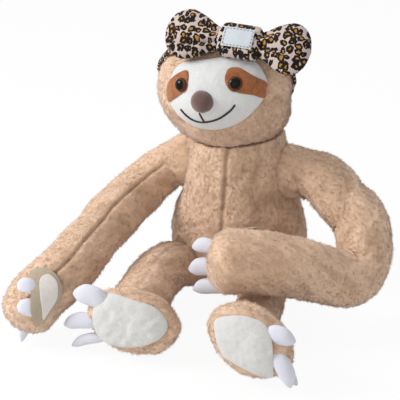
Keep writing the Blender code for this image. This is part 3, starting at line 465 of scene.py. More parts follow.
# The print laid on the cloth's own coordinates
def makeLeopardMaterial():
    material, tree, shader = startMaterial("leopardVelvet", 0.95, 0.06, specular=0.06)
    out = grouped(
        tree, leopardGroup, Vector=attribute(tree, "clothAt", "Vector"), Ground=(*looks["ground"], 1),
        Ring=(*looks["ring"], 1), Middle=(*looks["middle"], 1),
    )
    tree.links.new(out["Colour"], shader.inputs["Base Color"])
    bumped(tree, shader, out["Height"], 0.15 * mm)
    return material


# Woven cloth of two shades, so many threads to the metre
def weaveMaterial(name, colour, shade, threads, bump=0.12 * mm, roughness=0.85):
    material, tree, shader = startMaterial(name, roughness, 0.15, specular=0.2)
    out = grouped(
        tree, weaveGroup, Vector=attribute(tree, "clothAt", "Vector"), Threads=threads,
        Colour=(*colour, 1), Shade=(*shade, 1),
    )
    tree.links.new(out["Colour"], shader.inputs["Base Color"])
    bumped(tree, shader, out["Height"], bump)
    return material


# Twisted thread: a lighter and a darker strand winding round
def makeThreadMaterial(name, colour, shade):
    material, tree, shader = startMaterial(name, 0.55, 0.1)
    turn = clouds(tree, objectCoordinates(tree), 1500.0, 2.0)
    tree.links.new(mixed(tree, turn, (*shade, 1), (*colour, 1)), shader.inputs["Base Color"])
    bumped(tree, shader, turn, 0.1 * mm)
    return material


# Black pupil, dark brown iris and a black rim, by the share of the way out to the edge
def makeEyeMaterial():
    material, tree, shader = startMaterial("eyeGloss", 0.05, specular=0.14)
    share = attribute(tree, "rimShare", "Fac")
    streaks = clouds(tree, objectCoordinates(tree), 900.0, 2.0)
    iris = eased(tree, maths(tree, "MULTIPLY_ADD", streaks, 0.10, share), 0.72, 0.86)
    rim = eased(tree, share, 0.95, 0.99)
    colour = mixed(tree, iris, (0.003, 0.002, 0.002, 1), (0.115, 0.042, 0.018, 1))
    tree.links.new(mixed(tree, rim, colour, (0.012, 0.006, 0.004, 1)), shader.inputs["Base Color"])
    return material


leopardVelvet = makeLeopardMaterial()
khakiCloth = weaveMaterial("khakiCloth", looks["khaki"], looks["khakiShade"], 900.0)
labelCloth = weaveMaterial("labelCloth", looks["label"], looks["labelShade"], 1600.0, 0.06 * mm, 0.7)
padCloth = weaveMaterial("padCloth", looks["pad"], looks["padShade"], 1500.0, 0.12 * mm, 0.95)
blackThread = makeThreadMaterial("blackThread", (0.03, 0.024, 0.022), (0.006, 0.005, 0.005))
eyeGloss = makeEyeMaterial()
print("materials made")


pile = {
    "spacing": 1.5 * mm, "spikesPerSquareMm": 0.62, "length": 2.9 * mm, "width": 0.54 * mm,
    "lean": math.radians(63), "sink": 1.1 * mm, "tuft": 3.4 * mm, "gather": 0.6 * mm,
}


# The nap's hills and partings: noise on an unrolled tube, longer along the nap than across it
def napRelief(along, angles, radius, seed, slant=0.35):
    turned = angles + slant * along[:, None] / radius
    at = np.stack(
        (np.cos(turned) * radius, np.sin(turned) * radius, np.broadcast_to(along[:, None], turned.shape)), axis=-1
    )
    bend = np.stack([cloudNoise(at / (19 * mm), seed + 7 + i) for i in range(3)], axis=-1)
    at = at + bend * 3 * mm
    return (
        1.0 * mm * cloudNoise(at / np.array((13, 13, 17)) / mm, seed)
        + 0.6 * mm * cloudNoise(at / np.array((5.0, 5.0, 7.5)) / mm, seed + 1)
        + 0.3 * mm * cloudNoise(at / np.array((2.6, 2.6, 3.6)) / mm, seed + 2)
    )


# One plush piece: form gives its rings, dent(points, along, angles) what seams and folds take away,
# and bare(points) where no pile grows. Its pile leans from its first ring to its last.
def plushPiece(name, form, seed, dent=None, bare=None, napTurn=0.0):
    count = int(math.tau * max(form.wides.max(), form.highs.max()) / pile["spacing"]) // 4 * 4
    points, angles = ringGrid(form, count)
    centres = form.centres[:, None]
    gaps = np.linalg.norm(np.diff(np.column_stack((form.centres, form.wides)), axis=0), axis=1)
    along = np.concatenate(((0,), np.cumsum(gaps)))
    normals = gridNormals(points, centres)
    radius = float(np.median(form.wides))
    relief = napRelief(along, angles, radius, seed) - pile["sink"]
    if dent is not None:
        relief = relief - dent(points, along, angles)
    points = points + normals * relief[..., None]
    normals = gridNormals(points, centres)

    # spikes at random places, as many to each cell as its area asks for
    maker = np.random.default_rng(seed + 100)
    corner = points, np.roll(points, -1, axis=1)
    sideA, sideB = corner[1][:-1] - corner[0][:-1], corner[0][1:] - corner[0][:-1]
    areas = np.linalg.norm(np.cross(sideA, sideB), axis=-1).ravel()
    spikes = int(areas.sum() / mm**2 * pile["spikesPerSquareMm"])
    cell = np.searchsorted(np.cumsum(areas), maker.random(spikes) * areas.sum() * 0.999999)
    row, column = cell // count, cell % count
    nextColumn = (column + 1) % count
    a, b = maker.random((2, spikes, 1))

    def within(values):
        top = values[row, column] * (1 - a) + values[row, nextColumn] * a
        bottom = values[row + 1, column] * (1 - a) + values[row + 1, nextColumn] * a
        return top * (1 - b) + bottom * b

    roots, out, sunk = within(points), unitRows(within(normals)), within(relief[..., None])[:, 0]
    nap = np.gradient(points, axis=0)
    nap = unitRows(within(nap))
    nap = unitRows(nap - out * np.sum(nap * out, axis=-1, keepdims=True))
    around = np.cross(out, nap)
    kept = np.ones(spikes, bool) if bare is None else ~bare(roots)
    roots, out, nap, around = roots[kept], out[kept], nap[kept], around[kept]
    spikes = len(roots)

    # spikes lean along the nap and towards the nearest rise of a cloud, so that they gather into tufts
    size = pile["tuft"]
    tuft = cloudNoise(roots / size, seed + 20)
    rising = [cloudNoise(roots / size + step, seed + 20) - tuft for step in np.eye(3) * 0.2]
    lean = pile["lean"] + 0.25 * maker.standard_normal(spikes)
    swing = napTurn + 0.7 * cloudNoise(roots / (14 * mm), seed + 21) + 0.36 * maker.standard_normal(spikes)
    flat = nap * np.cos(swing)[:, None] + around * np.sin(swing)[:, None]
    length = pile["length"] * (0.8 + 0.4 * maker.random(spikes) + 0.2 * tuft)
    reach = out * (np.cos(lean) * length)[:, None] + flat * (np.sin(lean) * length)[:, None]
    reach = reach + np.stack(rising, axis=-1) * pile["gather"] * 5
    direction = unitRows(reach)
    length = np.linalg.norm(reach, axis=-1)
    wide = pile["width"] * (0.8 + 0.5 * maker.random(spikes))
    first = unitRows(np.cross(direction, out))
    second = np.cross(direction, first)
    turns = maker.random(spikes) * math.tau
    low = roots - out * 0.9 * mm
    feet = []
    for third in range(3):
        turn = turns + third * math.tau / 3
        offset = first * np.cos(turn)[:, None] + second * np.sin(turn)[:, None]
        feet.append(low + offset * wide[:, None] * 0.58)
    tips = roots + direction * length[:, None]
    spikePoints = np.stack((*feet, tips), axis=1).reshape(-1, 3)

    rows = len(points)
    poles = np.array([points[0].mean(axis=0), points[-1].mean(axis=0)])
    base = np.concatenate((points.reshape(-1, 3), poles))
    quads, fans = outwardFaces(base, *ringFaces(rows, count, rows * count, rows * count + 1))
    corners = np.arange(spikes)[:, None, None] * 4 + np.array(((0, 1, 3), (1, 2, 3), (2, 0, 3), (0, 2, 1)))
    start = 4 * np.arange(spikes)
    a, b, c, d = (spikePoints[start + i] for i in range(4))
    turned = np.sum(np.cross(b - a, c - a) * (d - a), axis=-1) > 0
    corners[turned] = corners[turned][..., ::-1]
    spikeFaces = corners.reshape(-1, 3) + len(base)

    # the surface fills the lower half of the OFBake map and each spike has a cell of the upper half
    column = quads % count
    wrap = (column.max(axis=1, keepdims=True) == count - 1) & (column == 0)
    quadUv = np.stack(((column + wrap * count) / count, 0.48 * (quads // count) / (rows - 1)), axis=-1)
    fanU = fans % count / count
    fanUv = np.stack((fanU, np.where(fans < rows * count, 0.48 * (fans // count) / (rows - 1), 0.49)), axis=-1)
    across = math.ceil(math.sqrt(2 * spikes))
    cellAt = np.stack((np.arange(spikes) % across, np.arange(spikes) // across), axis=-1) / across
    cellAt[:, 1] += 0.5
    inCell = np.array([[(k / 3, 0), ((k + 1) / 3, 0), ((k + 0.5) / 3, 1)] for k in (0, 1, 2, 0)])
    spikeUv = cellAt[:, None, None] + (inCell * 0.8 + 0.1) / across
    uv = np.concatenate((quadUv.reshape(-1, 2), fanUv.reshape(-1, 2), spikeUv.reshape(-1, 2)))
    # painted shade: spikes go from dark feet to light tips, are darker in the hollows of the nap and lighter on the
    # tufts, with a little random tone, and the surface between them is darker in the hollows of the nap and its
    # seams and at its two poles
    sunk = np.clip((sunk[kept] + pile["sink"]) / (3.2 * mm), -1, 0.25)
    # each spike's painted shade: lighter on the tufts, darker in the nap's hollows, plus a little random tone
    spikeToneAndShade = np.clip(0.84 + 0.13 * tuft + 0.55 * sunk + 0.06 * maker.standard_normal(spikes), 0.12, 1.2)
    # painted shade at the spike's three feet, which are darker than its tip
    spikeShadeMark = (spikeToneAndShade[:, None] * (0.72, 0.72, 0.72, 1.0)).ravel()
    # painted shade on the surface: darker where the nap and the seams dip
    hollowShade = np.clip(0.62 + (relief.ravel() + pile["sink"]) / (3.2 * mm), 0.08, 0.82)
    paintedShadeMark = np.concatenate((hollowShade, (0.1, 0.1), spikeShadeMark))
    piece = newPiece(
        name, np.concatenate((base, spikePoints)), [quads, np.concatenate((fans, spikeFaces))], tanPlush,
        uv=uv, marks={"paintedPileShade": paintedShadeMark},
    )
    print(f"{name}: {rows} rings of {count}, {spikes} spikes")
    return piece


# A valley along a line of the surface: deepest on it, gone a few widths away
def valley(distance, width, depth):
    return depth * np.exp(-((distance / width) ** 2))


torso = {
    "height": 0.1668, "halfWidth": 0.073, "halfDepth": 0.066, "belly": 0.006, "lean": 0.004,
    "tilt": math.radians(6),
    # height, half width, half depth and belly as shares, from the neck down
    "rings": (
        (1.00, 0.66, 0.70, 0.60), (0.88, 0.73, 0.78, 0.70), (0.76, 0.76, 0.84, 0.80), (0.63, 0.81, 0.90, 0.90),
        (0.50, 0.94, 0.97, 1.00), (0.34, 1.00, 1.00, 1.00), (0.17, 0.97, 0.95, 0.90), (0.06, 0.86, 0.84, 0.80),
        (0.00, 0.66, 0.64, 0.60),
    ),
    "seamDepth": 2.1 * mm,
}


# Level rings from the neck down, tipped a little towards the top, with both ends drawn in to a point
def torsoForm(size):
    rows = splined(size["rings"], 12)
    rows = rows[np.concatenate(((True,), np.diff(rows[:, 0]) < -1e-6))]
    inward = np.linspace(0.94, 0.05, 14)[:, None]
    top, bottom = (rows[i] * np.column_stack((1 + 0 * inward, inward, inward, 1 + 0 * inward)) for i in (0, -1))
    rows = np.vstack((top[::-1], rows, bottom))
    bend = np.clip(rows[:, 0], 0, 1) ** 3
    table = np.column_stack((
        -size["lean"] * bend, -size["belly"] * rows[:, 3], size["height"] * np.maximum(rows[:, 0], 0),
        size["halfWidth"] * rows[:, 1], size["halfDepth"] * rows[:, 2], bend,
    ))
    table = evenly(table, pile["spacing"])
    tilt = size["tilt"] * table[:, 5]
    return SimpleNamespace(
        centres=table[:, :3], sides=np.column_stack((np.cos(tilt), 0 * tilt, np.sin(tilt))),
        ups=np.tile((0.0, 1.0, 0.0), (len(table), 1)), wides=table[:, 3], highs=table[:, 4],
    )


# Seams down the front and the back, and a seat that is pressed flat
def torsoDent(points, along, angles):
    x, y, z = np.moveaxis(points, -1, 0)
    front = valley(x - 1.5 * mm + 0.012 * (z - 0.1), 2.4 * mm, torso["seamDepth"]) * (y < 0)
    back = valley(x, 2.4 * mm, torso["seamDepth"]) * (y > 0)
    flat = np.clip(1 - z / (14 * mm), 0, 1)  # the seat is pressed flat, so its nap lies down
    return (front + back) * np.clip(z / (30 * mm), 0, 1) + flat * 1.2 * mm


# No pile under the seat, nor inside the neck
def seatBare(roots):
    return (roots[:, 2] < 1.6 * mm) | (roots[:, 2] > torso["height"] - 2 * mm) & (
        np.hypot(roots[:, 0], roots[:, 1]) < 38 * mm
    )


torsoPlush = plushPiece("torsoPlush", torsoForm(torso), 1, torsoDent, seatBare)
ridesOn(torsoPlush, "torso", "tan_plush", "torso_skin", "torso_filling")


head = {
    "height": 0.110, "halfWidth": 0.0715, "halfDepth": 0.062, "forward": 0.019, "tilt": math.radians(6),
    "neck": (-0.004, -0.0036, 0.167),
    # height, half width, half depth and forward as shares, from the neck up
    "rings": (
        (0.00, 0.66, 0.74, 0.00), (0.09, 0.80, 0.84, 0.22), (0.22, 0.92, 0.92, 0.50), (0.40, 1.00, 0.99, 0.86),
        (0.58, 0.98, 0.99, 1.00), (0.74, 0.89, 0.91, 1.00), (0.87, 0.71, 0.72, 0.95), (0.96, 0.42, 0.43, 0.90),
        (1.00, 0.03, 0.03, 0.90),
    ),
}
headPlace = Matrix.Translation(head["neck"]) @ Matrix.Rotation(-head["tilt"], 4, "Y")
headTurn, headMove = np.array(headPlace.to_3x3()), np.array(head["neck"])


# From the head's own frame to the toy's: turn, then move
def toWorld(points):
    return points @ headTurn.T + headMove


# The same backwards
def toHead(points):
    return (points - headMove) @ headTurn


headRows = splined(head["rings"][:-1], 12)
crown = np.radians(np.linspace(6, 88, 12))[:, None]
last = headRows[-1]
headRows = np.vstack((
    headRows,
    np.hstack((
        last[0] + (1 - last[0]) * np.sin(crown), last[1] * np.cos(crown), last[2] * np.cos(crown),
        last[3] + 0 * crown,
    )),
))
headRows = headRows * (head["height"], head["halfWidth"], head["halfDepth"], -head["forward"])


# The head's half width, half depth and middle at a height
def headSection(z):
    return (np.interp(z, headRows[:, 0], headRows[:, i]) for i in (1, 2, 3))


# How far forward the head's front lies over a point of its own frame
def faceFront(x, z):
    wide, deep, middle = headSection(z)
    return middle - deep * np.sqrt(np.clip(1 - (x / wide) ** 2, 0, 1))


# Points at an offset from the head's front, along the normal that its two slopes give
def onFace(x, z, offset):
    step = 0.5 * mm
    slopeX = (faceFront(x + step, z) - faceFront(x - step, z)) / (2 * step)
    slopeZ = (faceFront(x, z + step) - faceFront(x, z - step)) / (2 * step)
    normals = unitRows(np.stack((slopeX, -np.ones_like(slopeX), slopeZ), axis=-1))
    return np.stack((x, faceFront(x, z), z), axis=-1) + normals * np.asarray(offset)[..., None], normals


# Outlines in the head's own frame, x to the toy's left and z up its axis
face = {
    "panelMiddle": (0.006, 0.062),
    "panel": (
        (-20.3, 93.3), (7.2, 96.4), (25.5, 96.9), (43.3, 89.9), (52.3, 78), (55, 67.7), (52.3, 57.9), (45.8, 49.1),
        (31.4, 36.6), (14.4, 29.1), (-1.3, 26.7), (-17.9, 29.2), (-29.8, 37.9), (-37.1, 46.2), (-42.8, 56.8),
        (-43.5, 64), (-41.4, 71.8), (-37, 82.2), (-31.1, 89.3),
    ),
    "rightPatchMiddle": (-0.0295, 0.0715), "rightPatchArea": 0.00073,
    "rightPatch": (
        (-17.8, 85.1), (-22.4, 85.6), (-31.4, 81.4), (-39.7, 74.1), (-42.8, 64.1), (-41.3, 55.3), (-34.5, 59),
        (-28.7, 62.5), (-20.2, 69.1), (-16.8, 78.5),
    ),
    "leftPatchMiddle": (0.0355, 0.0735), "leftPatchArea": 0.00098,
    "leftPatch": (
        (19.4, 78.5), (19.8, 83.5), (22, 87.3), (29.2, 87.6), (35.6, 84.4), (44.5, 78.1), (53.6, 71),
        (53.7, 64.7), (51.8, 57.4), (43.1, 62.2), (33, 65.6), (26, 69.1), (21.4, 73.1),
    ),
    "rightEye": (-24.3 * mm, 73.7 * mm), "leftEye": (28.7 * mm, 74.6 * mm), "eyeRadius": 7.0 * mm,
    "eyeBulge": 5.2 * mm,
    "nose": (-2.4 * mm, 59.7 * mm), "noseRadius": 11.3 * mm, "noseOut": 10.5 * mm,
    "mouth": (
        (-27.6, 50.7), (-23, 44.9), (-17.3, 40.5), (-11, 38.3), (-4.7, 38.2), (3.7, 39.9), (12.8, 43.3),
        (22, 49.3), (28, 55.6),
    ),
    "tick": ((-4.7, 38.4), (-5.4, 43.2), (-6.7, 49.3)),
    "panelRise": 1.9 * mm, "patchRise": 1.1 * mm,
}


# The reach of an outline in each direction from its middle
def reachOf(outline, middle, angles):
    table = splined(np.array(outline) * mm, 8, closed=True) - middle
    bearing = np.arctan2(table[:, 1], table[:, 0])
    order = np.argsort(bearing)
    return np.interp(angles, bearing[order], np.hypot(*table[order].T), period=math.tau)


# The muzzle swells under the nose, and the cloth dips where the eyes are pulled in
def faceSwell(x, z):
    noseX, noseZ = face["nose"]
    muzzle = 2.0 * mm * np.exp(-(((x - noseX) / (17 * mm)) ** 2) - ((z - noseZ + 5 * mm) / (14 * mm)) ** 2)
    for side in ("right", "left"):
        eyeX, eyeZ = face[side + "Eye"]
        muzzle = muzzle - 1.3 * mm * np.exp(-(((x - eyeX) / (9 * mm)) ** 2) - ((z - eyeZ) / (9 * mm)) ** 2)
    return muzzle


# Whether points lie within the face panel's outline, in front of the head's middle
def insideFace(points, grow=0.0):
    local = toHead(points)
    x, z = local[..., 0] - face["panelMiddle"][0], local[..., 2] - face["panelMiddle"][1]
    reach = reachOf(face["panel"], face["panelMiddle"], np.arctan2(z, x))
    return (np.hypot(x, z) < reach + grow) & (local[..., 1] < -0.012)


# The head's rings, with a neck that is drawn in to a point
def headForm():
    table = np.column_stack((0 * headRows[:, 0], headRows[:, 3], headRows[:, 0], headRows[:, 1], headRows[:, 2]))
    inward = np.linspace(0.05, 0.94, 14)[:, None]
    neck = table[0] * np.column_stack((1 + 0 * inward,) * 3 + (inward, inward))
    table = evenly(np.vstack((neck, table)), pile["spacing"])
    return levelForm(toWorld(table[:, :3]), headTurn[:, 0], headTurn[:, 1], table[:, 3], table[:, 4])


# The left cheek is drawn in towards the neck and the right one is a little fuller
def cheekDent(local):
    side = np.clip(local[..., 0] / (50 * mm), -0.25, 1) * np.clip((local[..., 1] + 35 * mm) / (30 * mm), 0, 1)
    return valley(local[..., 2] - 41 * mm, 27 * mm, 9 * mm) * side


# A bed for the face panel, a valley round it and a seam over the crown
def headDent(points, along, angles):
    local = toHead(points)
    x, z = local[..., 0] - face["panelMiddle"][0], local[..., 2] - face["panelMiddle"][1]
    gap = np.hypot(x, z) - reachOf(face["panel"], face["panelMiddle"], np.arctan2(z, x))
    front = local[..., 1] < -0.012
    under = np.clip(-gap / (2 * mm), 0, 1) * 2.2 * mm * front
    crown = valley(local[..., 0], 2.4 * mm, 1.3 * mm) * (local[..., 1] > -0.03)
    return under + valley(gap, 2.2 * mm, 1.2 * mm) * front + crown + cheekDent(local)


headPlush = plushPiece(
    "headPlush", headForm(), 2, headDent, lambda roots: insideFace(roots, -0.6 * mm), napTurn=2.6
)
ridesOn(headPlush, "head", "tan_plush", "head_skin", "head_filling")


# A piece of short plush laid on the face: rings run in from its outline, whose edge is turned under
def facePiece(name, outline, middle, rise, wall, material, slot, node, seed, rings=34, count=180):
    angles = middleTurn(count)
    reach = reachOf(outline, middle, angles)
    shares = np.concatenate(((1.0, 1.004, 1.0), np.linspace(0.985, 0.02, rings)))
    sink = np.concatenate(((-0.9, -0.3, 0.35), 1 - 0.35 * np.exp(-np.linspace(0, 12, rings)))) * rise
    x = middle[0] + shares[:, None] * reach * np.cos(angles)
    z = middle[1] + shares[:, None] * reach * np.sin(angles)
    flat = np.stack((x, z, 0 * x), axis=-1)
    soft = 0.30 * mm * cloudNoise(flat / (9 * mm), seed) + 0.12 * mm * cloudNoise(flat / (2.2 * mm), seed + 1)
    inner = np.clip((1 - shares) * 8, 0, 1)[:, None]
    offset = sink[:, None] + faceSwell(x, z) * np.clip((1 - shares) * 5, 0, 1)[:, None] + soft * inner
    if node != "face_panel":
        offset = sink[:, None] + face["panelRise"] + faceSwell(x, z) + soft * inner
    points, _ = onFace(x, z, offset)
    points = toWorld(points).reshape(-1, 3)
    pole = points.reshape(len(shares), count, 3)[-1].mean(axis=0)
    points = np.vstack((points, pole))
    faces = ringFaces(len(shares), count, endPole=len(points) - 1)
    piece = clothPiece(name, points, faces, (0, -1, 0), wall, material)
    ridesOn(piece, "head", slot, node)
    return piece


facePlush = facePiece(
    "facePlush", face["panel"], face["panelMiddle"], face["panelRise"], 1.2 * mm, whitePlush, "white_plush",
    "face_panel", 30, 60, 260,
)
for side in ("right", "left"):
    patch = facePiece(
        side + "EyePatchPlush", face[side + "Patch"], face[side + "PatchMiddle"], face["patchRise"], 0.8 * mm,
        rustPlush, "rust_plush", side + "_eye_patch", 33 + len(side), 26, 140,
    )
print("face laid on")


# A turn whose z points forward, with x as near across as it can be
def frameAt(origin, forward, across=(1.0, 0.0, 0.0)):
    z = unitRows(forward)
    y = unitRows(np.cross(z, across))
    return np.stack((np.cross(y, z), y, z), axis=1), np.asarray(origin)


# A profile of radius and height turned round its own axis, closed at both ends
def closedTurned(name, profile, count, turn, origin, material, marks):
    angles = roundTurn(count)
    radius, height = profile[:, :1], profile[:, 1:2]
    local = np.stack((radius * np.cos(angles), radius * np.sin(angles), height + 0 * angles), axis=-1)
    points = local.reshape(-1, 3) @ turn.T + origin
    poles = np.array(((0, 0, profile[0, 1]), (0, 0, profile[-1, 1]))) @ turn.T + origin
    return closedShell(name, np.vstack((points, poles)), len(profile), count, material, marks)


for side in ("right", "left"):
    eyeX, eyeZ = (np.array(value) for value in face[side + "Eye"])
    centre, normal = onFace(eyeX, eyeZ, face["panelRise"] + face["patchRise"] + faceSwell(eyeX, eyeZ) - 0.4 * mm)
    turn, origin = frameAt(toWorld(centre), headTurn @ normal)
    climb = np.radians(np.linspace(2, 88, 26))
    radius, bulge = face["eyeRadius"], face["eyeBulge"]
    profile = np.vstack((
        [(0.3 * radius, -1.2 * mm), (0.8 * radius, -1.2 * mm), (0.97 * radius, -0.7 * mm)],
        np.column_stack((np.cos(climb) ** 0.94 * radius, np.sin(climb) * bulge)),
    ))
    share = np.concatenate((np.repeat(profile[:, 0] / radius, 44), (0, 0)))
    eye = closedTurned(side + "EyeDome", profile, 44, turn, origin, eyeGloss, {"rimShare": share})
    ridesOn(eye, "head", "eye_plastic", side + "_eye")
    lid = radius * 1.04  # the plush is pushed up into a low roll round the eye
    wave, ringAt = roundTurn(64)[:, None], roundTurn(12)
    reach = lid + 0.75 * mm * np.cos(ringAt)
    tube = np.stack((reach * np.cos(wave), reach * np.sin(wave), 0.8 * mm * np.sin(ringAt) + 0 * wave), axis=-1)
    roll = closedTube(side + "EyeRoll", tube.reshape(-1, 3) @ turn.T + origin, 64, 12, rustPlush)
    ridesOn(roll, "head", "rust_plush")

noseX, noseZ = (np.array(value) for value in face["nose"])
centre, normal = onFace(noseX, noseZ, face["panelRise"] + faceSwell(noseX, noseZ) - 1.5 * mm)
turn, origin = frameAt(toWorld(centre), headTurn @ normal)
climb = np.radians(np.linspace(-12, 89, 52))[:, None]
spin = roundTurn(96)
radius, bulge = face["noseRadius"], face["noseOut"]
bumpy = np.stack((np.cos(climb) * np.cos(spin), np.cos(climb) * np.sin(spin), np.sin(climb) + 0 * spin), axis=-1)
wobble = 1 + 0.018 * cloudNoise(bumpy * 1.7, 41) + 0.006 * cloudNoise(bumpy * 7, 42)
wobble = wobble - valley(turnBetween(spin, math.radians(-60)), 0.10, 0.045) * np.cos(climb) ** 2  # one gather
local = bumpy * (radius, radius * 0.98, bulge) * wobble[..., None]
points = np.vstack((local.reshape(-1, 3), (0, 0, local[0, 0, 2]), (0, 0, local[-1, 0, 2]))) @ turn.T + origin
noseBall = closedShell("noseBall", points, len(climb), len(spin), noseVelour)
ridesOn(noseBall, "head", "nose_velour", "nose")


# A round cord through points: rings whose radius swells once for each stitch
def stitchedLine(name, path, radius, stitch, material, count=10, tight=0.22):
    gaps = np.linalg.norm(np.diff(path, axis=0), axis=1)
    along = np.concatenate(((0,), np.cumsum(gaps)))
    total = along[-1]
    swell = 1 - tight + tight * np.abs(np.sin(math.pi * along / stitch)) ** 0.5
    ends = np.sqrt(np.clip(np.minimum(along, total - along) / (1.2 * radius), 0.02, 1))
    wide = radius * swell * ends
    form = sweptForm(np.column_stack((path, wide, wide)))
    points, _ = ringGrid(form, count)
    points = np.vstack((points.reshape(-1, 3), path[0], path[-1]))
    return closedShell(name, points, len(path), count, material)


# A line of thread laid on the face panel
def faceLine(name, outline, node, radius=1.15 * mm):
    x, z = splined(np.array(outline) * mm, 14).T
    path, _ = onFace(x, z, face["panelRise"] + faceSwell(x, z) + 0.15 * mm)
    line = stitchedLine(name, evenly(toWorld(path), 0.35 * mm, 3), radius, 2.6 * mm, blackThread)
    ridesOn(line, "head", "black_thread", node)


faceLine("smileThread", face["mouth"], "smile_stitching")
faceLine("lipTickThread", face["tick"], "lip_tick_stitching", 1.05 * mm)
print("eyes, nose and smile made")


arms = {
    "ball": 0.0285, "radius": 0.0275, "handTip": 0.022,
    "right": {
        "shoulder": (-0.056, -0.004, 0.131), "length": 0.120, "foreLength": 0.150,
        "upper": (
            (-0.17, -0.04, -0.08, 0.90), (-0.29, -0.13, -0.17, 0.94), (-0.37, -0.30, -0.25, 0.97),
            (-0.42, -0.52, -0.30, 0.99), (-0.455, -0.73, -0.345, 1.00),
        ),
        "fore": (
            (-0.016, -0.136, -0.034, 0.92, 0.92), (-0.043, -0.296, -0.080, 0.99, 0.99),
            (-0.083, -0.456, -0.145, 1.04, 1.03), (-0.156, -0.596, -0.224, 1.05, 1.05),
            (-0.229, -0.683, -0.304, 1.05, 1.07), (-0.269, -0.723, -0.371, 0.98, 1.02),
        ),
        "bendAxis": (-0.40, -0.82, -0.41), "seamToward": (0.25, -0.80, 0.55), "seamDepth": 2.3 * mm,
        "claws": (
            ((-0.166, -0.835, -0.138), (-0.300, -0.800, -0.170)),
            ((-0.145, -0.885, -0.268), (-0.283, -0.855, -0.305)),
            ((-0.183, -0.801, -0.375), (-0.300, -0.823, -0.562)),
        ),
        "clawWidths": (0.88, 1.0, 0.62), "palm": (3, 0.7, math.radians(172), 1),
    },
    "left": {
        "shoulder": (0.056, -0.004, 0.131), "length": 0.120, "foreLength": 0.150,
        "upper": (
            (0.17, -0.03, 0.02, 0.92), (0.31, -0.07, -0.01, 0.97), (0.48, -0.14, -0.14, 1.00),
            (0.635, -0.205, -0.235, 1.01), (0.725, -0.33, -0.385, 1.03),
        ),
        "fore": (
            (0.020, -0.10, -0.125, 0.97, 0.97), (-0.045, -0.22, -0.180, 1.02, 1.05),
            (-0.205, -0.35, -0.112, 1.04, 1.08), (-0.385, -0.48, -0.025, 1.06, 1.10),
            (-0.573, -0.585, 0.022, 1.06, 1.15), (-0.720, -0.655, 0.030, 1.06, 1.17),
        ),
        "bendAxis": (-0.11, -0.91, -0.40), "seamToward": (0.1, 0.5, -0.85), "seamDepth": 1.3 * mm,
        "claws": (
            ((-0.847, -0.607, 0.100), (-0.990, -0.607, 0.078)),
            ((-0.853, -0.607, -0.060), (-1.018, -0.607, -0.087)),
            ((-0.800, -0.607, -0.193), (-0.990, -0.607, -0.225)),
        ),
        "clawWidths": (0.86, 1.02, 0.92), "palm": (4, 0.4, 0.0, -1),
    },
}


# Ball root, shaft through the keys and a domed end, as rows of x, y, z and two radii
def limbRows(pivot, ball, keys, tipLength):
    pivot, keys = np.asarray(pivot), np.asarray(keys)
    start = unitRows(keys[0, :3] - pivot)
    turnIn = np.radians(np.linspace(20, 110, 4))[:, None]
    root = np.hstack((pivot - start * ball * np.cos(turnIn), ball * np.sin(turnIn), ball * np.sin(turnIn)))
    rows = splined(np.vstack((root, keys)), 14)
    direction = unitRows(keys[-1, :3] - keys[-2, :3])
    dome = np.radians(np.linspace(6, 87, 16))[:, None]
    tip = np.hstack((keys[-1, :3] + direction * tipLength * np.sin(dome), keys[-1, 3:] * np.cos(dome)))
    return evenly(np.vstack((rows, tip)), pile["spacing"])


# The elbow, and the keys of the upper arm and the forearm as x, y, z and two radii
def armKeys(arm):
    shoulder = np.array(arm["shoulder"])
    upper = np.array(arm["upper"])
    elbow = shoulder + upper[-1, :3] * arm["length"]
    fore = np.array(arm["fore"])
    first = np.column_stack((shoulder + upper[:, :3] * arm["length"], upper[:, 3:] * arms["radius"] * (1, 1)))
    second = np.column_stack((elbow + fore[:, :3] * arm["foreLength"], fore[:, 3:] * arms["radius"]))
    return elbow, first, second


armForms = {}
for seed, side in ((5, "right"), (6, "left")):
    arm = arms[side]
    elbow, upperKeys, foreKeys = armKeys(arm)
    form = sweptForm(limbRows(arm["shoulder"], arms["ball"], np.vstack((upperKeys, foreKeys)), arms["handTip"]))
    armForms[side] = form

    def armDent(points, along, angles, arm=arm, form=form):
        share = along[:, None] / along[-1]
        toward = np.array(arm["seamToward"])
        seamAngle = np.arctan2(form.ups @ toward, form.sides @ toward)[:, None]
        off = turnBetween(angles, seamAngle) * arms["radius"]
        faded = np.clip((share - 0.14) * 12, 0, 1) * np.clip((0.92 - share) * 12, 0, 1)
        return valley(off, 1.8 * mm, arm["seamDepth"]) * faded

    armPlush = plushPiece(side + "ArmPlush", form, seed, armDent)
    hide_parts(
        side + "_upper_arm_skin", side + "_upper_arm_filling", side + "_forearm_skin",
        side + "_forearm_filling",
    )
    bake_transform(armPlush)
print("arms made")


claws = {"halfWidth": 9.8 * mm, "halfWall": 6.2 * mm, "rootShare": 0.30, "hook": 0.10}


